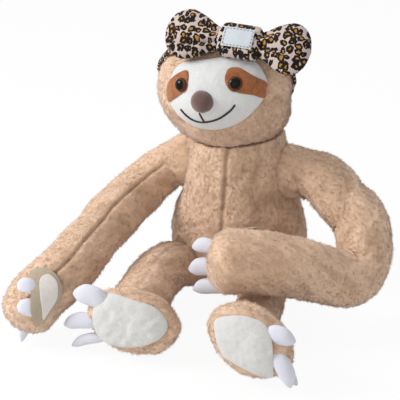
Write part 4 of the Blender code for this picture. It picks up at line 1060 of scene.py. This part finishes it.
# A flat felt claw: an oval swept along a line that bends down at both ends, with its root drawn inwards by sunk
def makeClaw(name, root, end, body, node, wide, sunk):
    start = root - (end - root) * claws["rootShare"]
    direction = unitRows(end - start)
    flatDown = unitRows(direction * (up @ direction) - up)
    length = np.linalg.norm(end - start)
    t = (1 - np.cos(np.linspace(0.04, 1, 40) * math.pi)) / 2
    # wide in the middle, blunt at the root, drawn in to a rounded tip
    along = 2 * t - 1
    full = (1 - np.abs(along) ** 2.6) ** (0.5 + 0.26 * t) * (1 - 0.12 * t)
    full = np.where(t > 0.999, 0.02, np.maximum(full, 0.02))
    bend = claws["hook"] * length * (t - 0.5) ** 2 * 4
    centres = start + direction * (t * length)[:, None] + flatDown * (bend - 0.5 * claws["hook"] * length)[:, None]
    centres = centres + sunk * (1 - t)[:, None] ** 2
    side = unitRows(up - direction * (up @ direction))
    thick = np.cross(direction, side)
    angles = roundTurn(36)
    # the two halves meet in a seam, which pinches the edge slightly
    widthOf, heightOf = signedPower(np.cos(angles), 0.92), signedPower(np.sin(angles), 1.08)
    points = (
        centres[:, None]
        + side * (full[:, None] * widthOf * claws["halfWidth"] * wide)[..., None]
        + thick * (full[:, None] * heightOf * claws["halfWall"] * wide**0.5)[..., None]
    )
    normals = gridNormals(points, centres[:, None])
    soft = 0.35 * mm * cloudNoise(points / (8 * mm), 60) + 0.10 * mm * cloudNoise(points / (1.8 * mm), 61)
    points = (points + normals * soft[..., None]).reshape(-1, 3)
    points = np.vstack((points, centres[0], centres[-1]))
    piece = closedShell(name, points, len(t), len(angles), clawFelt)
    ridesOn(piece, body, "claw_felt", node)


for side in ("right", "left"):
    arm = arms[side]
    elbow = armKeys(arm)[0]
    for i, (root, end) in enumerate(np.array(arm["claws"]) * arm["foreLength"], start=1):
        inward = armForms[side].centres
        inward = inward[np.argmin(np.linalg.norm(inward - (elbow + root), axis=1))] - (elbow + root)
        makeClaw(
            f"{side}HandClaw{i}", elbow + root, elbow + end, side + "_forearm", f"{side}_hand_claw_{i}",
            arm["clawWidths"][i - 1], unitRows(inward) * (10 if side == "right" else 3) * mm,
        )


# Outlines of the strap border and the pad on the unrolled hand: along it towards the tip, and round it
palm = {
    "borderMiddle": (1.0, -11.5),
    "border": (
        (-6.5, -35.5), (-15.3, -28.0), (-17.6, -17.6), (-16.5, -9.3), (-13.5, -1.4), (-6.7, 4.8), (5.2, 7.8),
        (16.2, 9.2), (24.2, 5.2), (16.6, -4.6), (8.2, -13.8), (0.0, -24.8),
    ),
    "padMiddle": (-3.0, -4.2),
    "pad": (
        (-7.6, -21.6), (-13.6, -20.2), (-14.6, -11.6), (-11.2, -4.2), (-5.2, 2.1), (5.8, 5.0), (14.6, 6.2),
        (9.2, 0.4), (0.8, -10.4),
    ),
    "rings": 26, "count": 120, "rightLift": 2.9 * mm, "leftLift": 1.8 * mm,
}


# Cloth on the hand: rings within an outline that is rolled round the arm, (half size + lift) * cos and sin
def palmPiece(side, kind, offset, wall, material, slot, node):
    arm, form = arms[side], armForms[side]
    key, part, facing, mirror = arm["palm"]
    foreKeys = armKeys(arm)[2]
    centre = foreKeys[key, :3] * (1 - part) + foreKeys[key + 1, :3] * part
    centreRow = np.argmin(np.linalg.norm(form.centres - centre, axis=1))
    rowLength = np.linalg.norm(form.centres[centreRow] - form.centres[centreRow - 1])
    radius = (form.wides[centreRow] + form.highs[centreRow]) / 2
    rings, count = palm["rings"], palm["count"]
    middle = np.array(palm[kind + "Middle"]) * mm
    turn = middleTurn(count)
    reach = reachOf(palm[kind], middle, turn)
    share = np.concatenate(((1.0, 1.01, 1.0), np.linspace(0.98, 0.02, rings)))[:, None]
    sink = np.concatenate(((-1.4, -0.9, -0.3), np.zeros(rings)))[:, None] * mm
    alongOf = middle[0] + share * reach * np.cos(turn)
    roundOf = middle[1] + share * reach * np.sin(turn)
    row = centreRow + alongOf / rowLength
    bearing = facing + mirror * roundOf / radius
    number = np.arange(len(form.centres))

    def between(values):
        return np.stack([np.interp(row, number, column) for column in values.T], axis=-1)

    wides, highs = (np.interp(row, number, values) for values in (form.wides, form.highs))
    cloth = np.stack((alongOf, roundOf, 0 * row), axis=-1)
    lift = offset + sink + 0.25 * mm * cloudNoise(cloth / (7 * mm), 71)
    outward = between(form.sides) * ((wides + lift) * np.cos(bearing))[..., None]
    outward = outward + between(form.ups) * ((highs + lift) * np.sin(bearing))[..., None]
    points = (between(form.centres) + outward).reshape(-1, 3)
    points = np.vstack((points, points[-count:].mean(axis=0)))
    cloth = cloth.reshape(-1, 3)
    cloth = np.vstack((cloth, cloth[-count:].mean(axis=0)))
    faces = ringFaces(rings + 3, count, endPole=len(points) - 1)
    name = side + "Palm" + kind.capitalize()
    piece = clothPiece(name, points, faces, points[-1] - centre, wall, material, {"clothAt": cloth})
    ridesOn(piece, side + "_forearm", slot, node)


for side in ("right", "left"):
    lift = palm[side + "Lift"]
    palmPiece(side, "border", lift, 1.2 * mm, khakiCloth, "khaki_fabric", side + "_palm_border")
    palmPiece(side, "pad", lift + 0.9 * mm, 1.2 * mm, padCloth, "pad_fabric", side + "_palm_pad")
print("hands made")


legs = {
    "ball": 0.0285, "radius": 0.0265, "length": 0.125,
    "halfLength": 0.0425, "halfDepth": 0.023, "flatness": 3.4, "fullness": 2.4,
    "right": {
        "hip": (-0.038, -0.036, 0.029),
        "keys": (
            (-0.055, -0.22, 0.060, 0.92), (-0.095, -0.42, 0.110, 0.98), (-0.115, -0.66, 0.115, 1.03),
            (-0.115, -0.90, 0.075, 1.05), (-0.110, -1.08, 0.040, 1.05),
        ),
        "foot": (-0.047, -0.189, 0.0365), "roll": math.radians(5), "turn": math.radians(2), "sign": -1,
        "soleMiddle": (-1 * mm, 7 * mm), "soleArea": 0.0038, "crush": 0.75 * mm,
        "sole": (
            (37.4, 5.9), (35.4, 18.5), (29.5, 25.0), (18.2, 28.9), (4.8, 29.8), (-14.2, 28.3), (-26.1, 24.4),
            (-35, 17), (-37.7, 10.5), (-36.6, 4.6), (-29.5, -4.6), (-12.7, -15.5), (11.9, -22.6), (27.6, -21.5),
            (34.6, -8.3),
        ),
        "shift": (-3.5 * mm, 1.0 * mm), "halfLength": 46 * mm, "halfHeight": 32.5 * mm,
        "clawWidths": (1.22, 0.92, 0.60),
        "claws": (
            ((-0.60, -0.33, 0.52), (-1.26, -0.33, 0.66)), ((-0.84, -0.33, -0.06), (-1.55, -0.33, -0.22)),
            ((-0.72, -0.33, -0.48), (-1.38, -0.33, -0.74)),
        ),
    },
    "left": {
        "hip": (0.038, -0.036, 0.029),
        "keys": (
            (0.060, -0.22, -0.014, 0.91), (0.110, -0.44, -0.027, 0.90), (0.150, -0.68, -0.033, 0.89),
            (0.175, -0.92, -0.027, 0.94), (0.190, -1.10, -0.010, 1.00),
        ),
        "foot": (0.070, -0.190, 0.0430), "roll": math.radians(-15), "turn": math.radians(-13), "sign": 1,
        "soleMiddle": (3 * mm, 5 * mm), "soleArea": 0.0033, "crush": 0.3 * mm,
        "sole": (
            (-33, 8.9), (-27, 18.2), (-10.5, 28.7), (3.7, 31.6), (12.7, 30.6), (19.6, 27.4), (27.2, 19.3),
            (33.4, 4.3), (36.7, -15), (30.7, -18.6), (20.5, -18.9), (5.6, -19.2), (-6.5, -19), (-15.9, -17.7),
            (-23, -8.9), (-29.2, 1.2),
        ),
        "shift": (4.0 * mm, -1.0 * mm), "halfLength": 44 * mm, "halfHeight": 33.5 * mm,
        "clawWidths": (1.04, 0.96, 0.60),
        "claws": (
            ((0.62, -0.40, 0.34), (1.17, -0.40, 0.34)), ((0.78, -0.53, -0.12), (1.18, -0.53, -0.74)),
            ((0.74, -0.17, -0.58), (1.20, -0.17, -0.88)),
        ),
    },
}


# The foot's middle, and the ways that its toes, its upper edge and its sole face
def footFrame(leg):
    turn, roll, sign = leg["turn"], leg["roll"], leg["sign"]
    sole = np.array((math.sin(turn), -math.cos(turn), 0.0))
    level = np.array((sign * math.cos(turn), sign * math.sin(turn), 0.0))
    toe = level * math.cos(roll) + up * math.sin(roll)
    return np.array(leg["foot"]), toe, np.cross(toe, sole) * -sign, sole


# The same with the middle moved along the foot by its shift
def footMiddle(leg):
    centre, toe, above, sole = footFrame(leg)
    return centre + toe * leg["shift"][0] + above * leg["shift"][1], toe, above, sole


# Ovals stacked from the ankle to the sole, whose size follows a superellipse over the depth
def footForm(leg):
    centre, toe, above, sole = footMiddle(leg)
    depth = np.sin(np.radians(np.linspace(-86, 88, 90)))
    full = (1 - np.abs(depth) ** legs["flatness"]) ** (1 / legs["fullness"])
    full = np.where(depth < 0, np.sqrt(1 - depth**2), full)
    table = np.column_stack((depth * legs["halfDepth"], full * leg["halfHeight"], full * leg["halfLength"]))
    table = evenly(table, pile["spacing"], 3)
    return levelForm(centre + table[:, :1] * sole, toe, above, table[:, 2], table[:, 1])


# The same superellipse from the front: how deep the sole side lies over (u, v), and its normal
def soleSurface(leg, u, v):
    share = np.clip(np.hypot(u / leg["halfLength"], v / leg["halfHeight"]), 1e-4, 0.985)
    depth = (1 - share ** legs["fullness"]) ** (1 / legs["flatness"])
    steep = legs["fullness"] * share ** (legs["fullness"] - 2)
    normal = unitRows(np.stack((
        steep * u / leg["halfLength"] ** 2, steep * v / leg["halfHeight"] ** 2,
        legs["flatness"] * depth ** (legs["flatness"] - 1) / legs["halfDepth"],
    ), axis=-1))
    return depth * legs["halfDepth"], normal


# How far a world point lies outside the sole's outline, and how deep it is on the foot
def soleGap(leg, points):
    centre, toe, above, sole = footMiddle(leg)
    away = points - centre
    x, y = away @ toe - leg["soleMiddle"][0], away @ above - leg["soleMiddle"][1]
    return np.hypot(x, y) - reachOf(leg["sole"], leg["soleMiddle"], np.arctan2(y, x)), away @ sole


for seed, side in ((11, "right"), (12, "left")):
    leg = legs[side]
    keys = np.array(leg["keys"])
    keys = np.column_stack((leg["hip"] + keys[:, :3] * legs["length"], keys[:, 3:] * legs["radius"] * (1, 1)))
    form = sweptForm(limbRows(leg["hip"], legs["ball"], keys, legs["radius"] / 2))

    def legDent(points, along, angles, side=side):
        off = turnBetween(angles, math.radians(100 if side == "right" else 80)) * legs["radius"]
        low = np.clip(1 - points[..., 2] / (5 * mm), 0, 1) * 0.9 * mm
        return valley(off, 2.0 * mm, 0.8 * mm) + low

    legPlush = plushPiece(side + "LegPlush", form, seed, legDent, lambda roots: roots[:, 2] < 1.8 * mm)
    ridesOn(legPlush, side + "_leg", "tan_plush", side + "_leg_skin", side + "_leg_filling")

    def footDent(points, along, angles, leg=leg):
        gap, depth = soleGap(leg, points)
        return np.clip(-gap / (3 * mm), 0, 1) * 1.5 * mm * (depth > 0) + valley(gap, 2 * mm, 0.8 * mm) * (depth > 0)

    def soleBare(roots, leg=leg):
        gap, depth = soleGap(leg, roots)
        return (gap < -1.0 * mm) & (depth > 0) | (roots[:, 2] < 1.8 * mm)

    footPlush = plushPiece(side + "FootPlush", footForm(leg), seed + 3, footDent, soleBare)
    ridesOn(footPlush, side + "_leg", "tan_plush", side + "_foot_skin", side + "_foot_filling")

    # the sole: rings run in from its outline, whose edge is turned under
    centre, toe, above, sole = footMiddle(leg)
    count, rings = 200, 46
    middle = leg["soleMiddle"]
    turn = middleTurn(count)
    reach = reachOf(leg["sole"], middle, turn)
    share = np.concatenate(((1.0, 1.008, 1.0), np.linspace(0.985, 0.02, rings)))[:, None]
    sink = np.concatenate(((-1.6, -0.9, 0.0), 1.1 - 0.9 * np.exp(-np.linspace(0, 9, rings))))[:, None] * mm
    u, v = middle[0] + share * reach * np.cos(turn), middle[1] + share * reach * np.sin(turn)
    depth, normal = soleSurface(leg, u, v)
    flat = np.stack((u, v, 0 * u), axis=-1)
    soft = 0.9 * mm * cloudNoise(flat / (16 * mm), seed + 40) + 0.30 * mm * cloudNoise(flat / (4 * mm), seed + 41)
    soft = soft + leg["crush"] * cloudNoise(flat / (6.5 * mm), seed + 42)
    lift = sink + soft * np.clip((1 - share) * 6, 0, 1)
    normal = normal[..., :1] * toe + normal[..., 1:2] * above + normal[..., 2:] * sole
    points = centre + u[..., None] * toe + v[..., None] * above + depth[..., None] * sole + normal * lift[..., None]
    pole = points[-1].mean(axis=0)
    points = np.vstack((points.reshape(-1, 3), pole))
    faces = ringFaces(rings + 3, count, endPole=len(points) - 1)
    solePatch = clothPiece(side + "SolePlush", points, faces, sole, 1.2 * mm, solePlush)
    ridesOn(solePatch, side + "_leg", "sole_plush", side + "_sole")
    centre = footFrame(leg)[0]
    for i, (root, end) in enumerate(np.array(leg["claws"]) * legs["halfLength"], start=1):
        makeClaw(
            f"{side}FootClaw{i}", centre + root, centre + end, side + "_leg", f"{side}_foot_claw_{i}",
            leg["clawWidths"][i - 1], -sole * 2 * mm,
        )
print("legs and feet made")


band = {"halfWidth": 6.5 * mm, "halfWall": 1.4 * mm, "back": 0.5 * mm, "height": 0.076, "slope": math.radians(44)}


# Below 0 inside the head's oval section, above 0 outside it
def headLevel(points):
    x, y, z = np.moveaxis(points, -1, 0)
    wide, deep, middle = headSection(z)
    level = (x / wide) ** 2 + ((y - middle) / deep) ** 2 - 1
    return np.where((z > 0) & (z < head["height"]), level, 1)


# The strap follows the line where a sloping plane cuts the head, found by halving along each ray
def makeHeadband():
    count = 240
    angles = roundTurn(count)
    back = np.array((0.0, math.cos(band["slope"]), -math.sin(band["slope"])))
    rays = np.outer(np.cos(angles), (1.0, 0.0, 0.0)) + np.outer(np.sin(angles), back)
    centre = np.array((0.0, band["back"] - head["forward"], band["height"]))
    near, far = np.zeros(count), np.full(count, 2 * head["halfWidth"])
    for _ in range(30):
        middle = (near + far) / 2
        inside = headLevel(centre + rays * middle[:, None]) < 0
        near, far = np.where(inside, middle, near), np.where(inside, far, middle)
    path = centre + rays * near[:, None]
    slopes = [headLevel(path + step) - headLevel(path - step) for step in np.eye(3) * 0.4 * mm]
    normals = unitRows(np.stack(slopes, axis=1))
    along = unitRows(np.roll(path, -1, axis=0) - np.roll(path, 1, axis=0))
    across = unitRows(np.cross(along, normals))
    turn = roundTurn(28)
    wideOf, wallOf = signedPower(np.sin(turn), 0.8), signedPower(np.cos(turn), 0.8)
    distance = np.concatenate(((0,), np.cumsum(np.linalg.norm(np.diff(path, axis=0), axis=1))))
    ripple = 0.5 * mm * np.sin(distance / (3.1 * mm)) * np.sin(distance / (17 * mm))
    lift = band["halfWall"] + 1.2 * mm + ripple - cheekDent(path)
    middle = path + normals * lift[:, None]
    points = (
        middle[:, None]
        + normals[:, None] * (wallOf * (band["halfWall"] + 0.4 * mm))[None, :, None]
        + across[:, None] * (wideOf * band["halfWidth"])[None, :, None]
    )
    cloth = np.stack(np.broadcast_arrays(distance[:, None], wideOf * band["halfWidth"] + 0.1, 0.0), axis=-1)
    points, marks = toWorld(points.reshape(-1, 3)), {"clothAt": cloth.reshape(-1, 3)}
    piece = closedTube("headbandCloth", points, count, len(turn), leopardVelvet, marks)
    ridesOn(piece, "headband_bow", "leopard_cloth", "headband")
    print("headband length", round(float(distance[-1]), 3))


makeHeadband()

bow = {
    "out": 0.0318, "forward": 0.0560, "rise": 0.1108, "roll": math.radians(8.7), "leaning": math.radians(-36),
    "knotHalf": (21.5 * mm, 10.5 * mm, 16.5 * mm), "rightLength": 58.5 * mm, "leftLength": 52 * mm,
    "loopHalfHeight": 25.6 * mm, "loopHalfWall": 10.5 * mm,
    # length, half height and half wall as shares, from the knot outwards
    "loopRings": (
        (0.00, 0.40, 0.58), (0.14, 0.54, 0.74), (0.36, 0.82, 0.98), (0.60, 1.00, 1.00), (0.80, 0.90, 0.82),
        (0.94, 0.56, 0.48), (1.00, 0.04, 0.05),
    ),
}
bowPlace = (
    headPlace
    @ Matrix.Translation((bow["out"], -bow["forward"], bow["rise"]))
    @ Matrix.Rotation(bow["roll"], 4, "Y")
    @ Matrix.Rotation(bow["leaning"], 4, "X")
)
bowTurn, bowMove = np.array(bowPlace.to_3x3()), np.array(bowPlace.translation)


# Points that lie too near the head, moved outwards along its own radius in short steps
def liftedOffHead(points, room):
    top = head["height"]

    def tooNear(local, drop, over):
        x, y, z = np.moveaxis(local, -1, 0)
        wide, deep, middle = headSection(np.clip(z - drop, 0, top - 0.1 * mm))
        reach = np.sqrt((x / (wide + room)) ** 2 + ((y - middle) / (deep + room)) ** 2)
        return (reach < 1) & (z < top + over) & (z > 0), middle

    local = toHead(points)
    inside, middle = tooNear(local, 0.0, 0.0)
    centre = np.stack((0 * middle, middle, 0 * middle + 0.06), axis=-1)
    for _ in range(14):
        local = np.where(inside[..., None], local + unitRows(local - centre) * 0.6 * mm, local)
        inside = tooNear(local, room * 0.6, room)[0]
    return toWorld(local)


# Rings of the bow, lifted off the head and closed into a stuffed piece of print
def bowPiece(name, local, cloth, node):
    rows, count = local.shape[:2]
    points = liftedOffHead(local @ bowTurn.T + bowMove, 2.5 * mm).reshape(-1, 3)
    points = np.vstack((points, points[:count].mean(axis=0), points[-count:].mean(axis=0)))
    cloth = cloth.reshape(-1, 3)
    marks = {"clothAt": np.vstack((cloth, cloth[:1], cloth[-1:]))}
    piece = closedShell(name, points, rows, count, leopardVelvet, marks)
    ridesOn(piece, "headband_bow", "leopard_cloth", node)
    return piece


# One loop: flat oval rings along it, with gathers, a fold, soft lumps and a sewn edge added to y and z
def makeLoop(side, sign, seed):
    total = bow[side + "Length"]
    rows = splined(bow["loopRings"], 10)
    rows = evenly(rows * (total, bow["loopHalfHeight"], bow["loopHalfWall"]), 0.7 * mm, 3)
    length = np.clip(rows[:, :1] / total, 0, 1)
    turn = roundTurn(132)
    high, deep = signedPower(np.sin(turn), 0.9), signedPower(np.cos(turn), 1.05)
    z = rows[:, 1:2] * high
    y = rows[:, 2:3] * deep
    x = bow["knotHalf"][0] * 0.80 + rows[:, :1] + 0 * z
    share = z / np.maximum(rows[:, 1:2], 1e-6)
    near = (1 - length) ** 1.6
    # gathers fan out from the knot, and one long fold runs across the lower half
    fan = near * 2.1 * mm * np.sin(share * 8.5 + 1.3 * seed) * (np.abs(deep) > 0.05)
    foldAt = -0.38 - 0.10 * np.sin(length * 5 + seed)
    fold = valley(share - foldAt, 0.11, 3.2 * mm) * np.sin(np.clip(length * 1.15, 0, 1) * math.pi) ** 0.6
    front = np.clip(-deep * 3, 0, 1)
    y = y + fan * 0.8 + fold * front
    z = z + 0.8 * mm * near * np.sin(share * 5 + seed)
    flat = np.stack((x, y * 0.3, z), axis=-1)
    lump = 0.9 * mm * cloudNoise(flat / (13 * mm), seed) + 0.35 * mm * cloudNoise(flat / (5 * mm), seed + 1)
    y = y + lump * np.sign(deep)
    edge = valley(np.abs(share) - 1, 0.03, 0.6 * mm)  # the sewn edge
    z = z - np.sign(share) * edge
    local = np.stack((sign * x, y, z), axis=-1)
    cloth = np.stack((sign * x + 0.3, z + 0.2 + 0.08 * (deep > 0), 0 * x), axis=-1)
    piece = bowPiece(side + "BowLoop", local, cloth, side + "_bow_loop")


makeLoop("right", -1, 81)
makeLoop("left", 1, 84)


# The knot is a band of cloth round the middle: a rounded box whose ends are drawn in by folds
def makeKnot():
    halfX, halfY, halfZ = bow["knotHalf"]
    t = np.linspace(-1, 1, 90)
    full = (1 - np.abs(t) ** 9) ** (1 / 3)
    turn = roundTurn(150)
    wideOf, deepOf = signedPower(np.sin(turn), 0.72), signedPower(np.cos(turn), 0.72)
    x = t[:, None] * halfX * (1 + 0.04 * np.cos(2 * turn))
    ends = np.clip((np.abs(t) - 0.62) / 0.38, 0, 1)[:, None]
    y = deepOf * halfY * full[:, None] + ends * 1.0 * mm * np.sin(wideOf * 9)
    z = wideOf * halfZ * full[:, None] * (1 + 0.05 * t[:, None] ** 2)
    flat = np.stack((x, y, z), axis=-1)
    lump = 0.7 * mm * cloudNoise(flat / (9 * mm), 90)
    y = y + lump * np.sign(deepOf)
    cloth = np.stack((x + 0.5, np.where(deepOf < 0, z, 2 * halfZ - z), 0 * x), axis=-1)
    piece = bowPiece("bowKnot", np.stack((x, y, z), axis=-1), cloth, "bow_knot")


makeKnot()

label = {"halfWidth": 15 * mm, "halfHeight": 9.6 * mm, "wall": 0.8 * mm, "dash": 1.9 * mm, "gap": 1.3 * mm}


# The label bows slightly over the knot; its place is bare but for a dashed line of stitches
def labelAt(x, z, lift):
    y = -bow["knotHalf"][1] - 2.0 * mm + 0.9 * mm * (x / label["halfWidth"]) ** 2 - lift
    y = y + 0.3 * mm * (z / label["halfHeight"]) ** 2
    return np.stack((x, y, z), axis=-1) @ bowTurn.T + bowMove


# The bare label and its dashes
def makeLabel():
    x, z = np.meshgrid(
        np.linspace(-1, 1, 61) * label["halfWidth"], np.linspace(-1, 1, 41) * label["halfHeight"], indexing="ij"
    )
    points = labelAt(x, z, 0.25 * mm * cloudNoise(np.stack((x, z, 0 * x), axis=-1) / (7 * mm), 95)).reshape(-1, 3)
    index = np.arange(61 * 41).reshape(61, 41)
    quads = np.stack((index[:-1, :-1], index[1:, :-1], index[1:, 1:], index[:-1, 1:]), axis=-1).reshape(-1, 4)
    marks = {"clothAt": np.stack((x, z, 0 * x), axis=-1).reshape(-1, 3)}
    piece = clothPiece("bowLabel", points, [quads], -bowTurn[:, 1], label["wall"], labelCloth, marks)
    ridesOn(piece, "headband_bow", "label_cloth", "bow_label")
    # dashes in order round a rectangle a little inside the edge
    w, h = label["halfWidth"] - 1.5 * mm, label["halfHeight"] - 1.5 * mm
    allPoints, allFaces, allFans, total = [], [], [], 0
    for fromX, fromZ, toX, toZ in ((-w, -h, w, -h), (w, -h, w, h), (w, h, -w, h), (-w, h, -w, -h)):
        run = math.hypot(toX - fromX, toZ - fromZ)
        dashes = round(run / (label["dash"] + label["gap"]))
        for i in range(dashes):
            start, end = (i + 0.2) / dashes, (i + 0.8) / dashes
            t = np.linspace(start, end, 9)
            bulge = np.sin(np.linspace(0.12, math.pi - 0.12, 9))
            path = labelAt(fromX + (toX - fromX) * t, fromZ + (toZ - fromZ) * t, 0.30 * mm * bulge)
            wide = 0.26 * mm * bulge**0.4
            form = sweptForm(np.column_stack((path, wide, wide)))
            ring = ringGrid(form, 8)[0].reshape(-1, 3)
            ring = np.vstack((ring, path[0], path[-1]))
            quads, fans = outwardFaces(ring, *ringFaces(9, 8, 72, 73))
            allPoints.append(ring)
            allFaces.append(quads + total)
            allFans.append(fans + total)
            total += len(ring)
    stitches = newPiece(
        "labelStitches", np.vstack(allPoints), [np.vstack(allFaces), np.vstack(allFans)], blackThread
    )
    ridesOn(stitches, "headband_bow", "black_thread")


makeLabel()
print("headband and bow made")


washerPlastic, tree, shader = startMaterial("washerPlastic", 0.5, specular=0.4)
grain = clouds(tree, objectCoordinates(tree), 700.0, 2.0)
tree.links.new(mixed(tree, grain, (0.72, 0.72, 0.70, 1), (0.84, 0.84, 0.83, 1)), shader.inputs["Base Color"])
for side in ("right", "left"):
    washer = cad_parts[side + "_eye_washer"]
    washer.data.materials.clear()
    washer.data.materials.append(washerPlastic)


# A white glow that only the camera, gloss and clear things see, so that it puts no light on the toy
def whiteToCamera(tree, shader, out, amount):
    path = tree.nodes.new("ShaderNodeLightPath")
    seen = maths(tree, "MAXIMUM", path.outputs["Is Camera Ray"], path.outputs["Is Glossy Ray"])
    seen = maths(tree, "MAXIMUM", seen, path.outputs["Is Transmission Ray"])
    glow = tree.nodes.new("ShaderNodeEmission" if shader.type != "BACKGROUND" else "ShaderNodeBackground")
    glow.inputs["Color"].default_value = (1, 1, 1, 1)
    glow.inputs["Strength"].default_value = 1.0
    mix = tree.nodes.new("ShaderNodeMixShader")
    tree.links.new(maths(tree, "MULTIPLY", seen, amount), mix.inputs[0])
    tree.links.new(shader.outputs[0], mix.inputs[1])
    tree.links.new(glow.outputs[0], mix.inputs[2])
    tree.links.new(mix.outputs[0], out.inputs["Surface"])


# A white floor and a white sky
def makeStage():
    bpy.ops.mesh.primitive_plane_add(size=8, location=(0, 0, -0.4 * mm))
    floor = bpy.context.object
    floor.name = "studioFloor"
    material = bpy.data.materials.new("paperFloor")
    material.use_nodes = True
    tree = material.node_tree
    shader = tree.nodes["Principled BSDF"]
    shader.inputs["Roughness"].default_value = 0.9
    shader.inputs["Specular IOR Level"].default_value = 0.1
    shader.inputs["Base Color"].default_value = (0.93, 0.93, 0.93, 1)
    whiteToCamera(tree, shader, tree.nodes["Material Output"], 0.93)
    floor.data.materials.append(material)

    world = bpy.data.worlds.new("studio")
    bpy.context.scene.world = world
    world.use_nodes = True
    tree = world.node_tree
    sky = tree.nodes["Background"]
    sky.inputs["Color"].default_value = (0.98, 0.99, 1.0, 1)
    sky.inputs["Strength"].default_value = 0.52
    whiteToCamera(tree, sky, tree.nodes["World Output"], 1.0)


lamps = (
    # name, place, width, watts
    ("windowLight", (-1.25, -0.70, 1.05), 0.55, 21.0),
    ("frontFill", (0.2, -1.6, 0.7), 1.1, 2.5),
    ("topLight", (0.15, 0.35, 1.5), 1.0, 4.0),
)


# Square lamps that look at the toy's middle
def makeLamps():
    for name, place, width, watts in lamps:
        lamp = bpy.data.lights.new(name, "AREA")
        lamp.energy = watts
        lamp.size = width
        holder = bpy.data.objects.new(name, lamp)
        bpy.context.scene.collection.objects.link(holder)
        holder.location = place
        holder.rotation_euler = (Vector((0, -0.05, 0.13)) - Vector(place)).to_track_quat("-Z", "Y").to_euler()


camera = {
    "azimuth": math.radians(20), "elevation": math.radians(24), "distance": 1.3,
    "target": (-0.0523, 0.0162, 0.0744), "sensor": 36.0, "lens": 107.3,
}


# The camera stands off its target by azimuth and elevation
def makeCamera():
    data = bpy.data.cameras.new("photoCamera")
    data.sensor_width, data.lens = camera["sensor"], camera["lens"]
    holder = bpy.data.objects.new("photoCamera", data)
    bpy.context.scene.collection.objects.link(holder)
    azimuth, elevation = camera["azimuth"], camera["elevation"]
    back = Vector((
        math.sin(azimuth) * math.cos(elevation), -math.cos(azimuth) * math.cos(elevation), math.sin(elevation)
    ))
    holder.location = Vector(camera["target"]) + back * camera["distance"]
    holder.rotation_euler = (-back).to_track_quat("-Z", "Y").to_euler()
    bpy.context.scene.camera = holder


makeStage()
makeLamps()
makeCamera()
bpy.context.scene.view_settings.view_transform = "Standard"
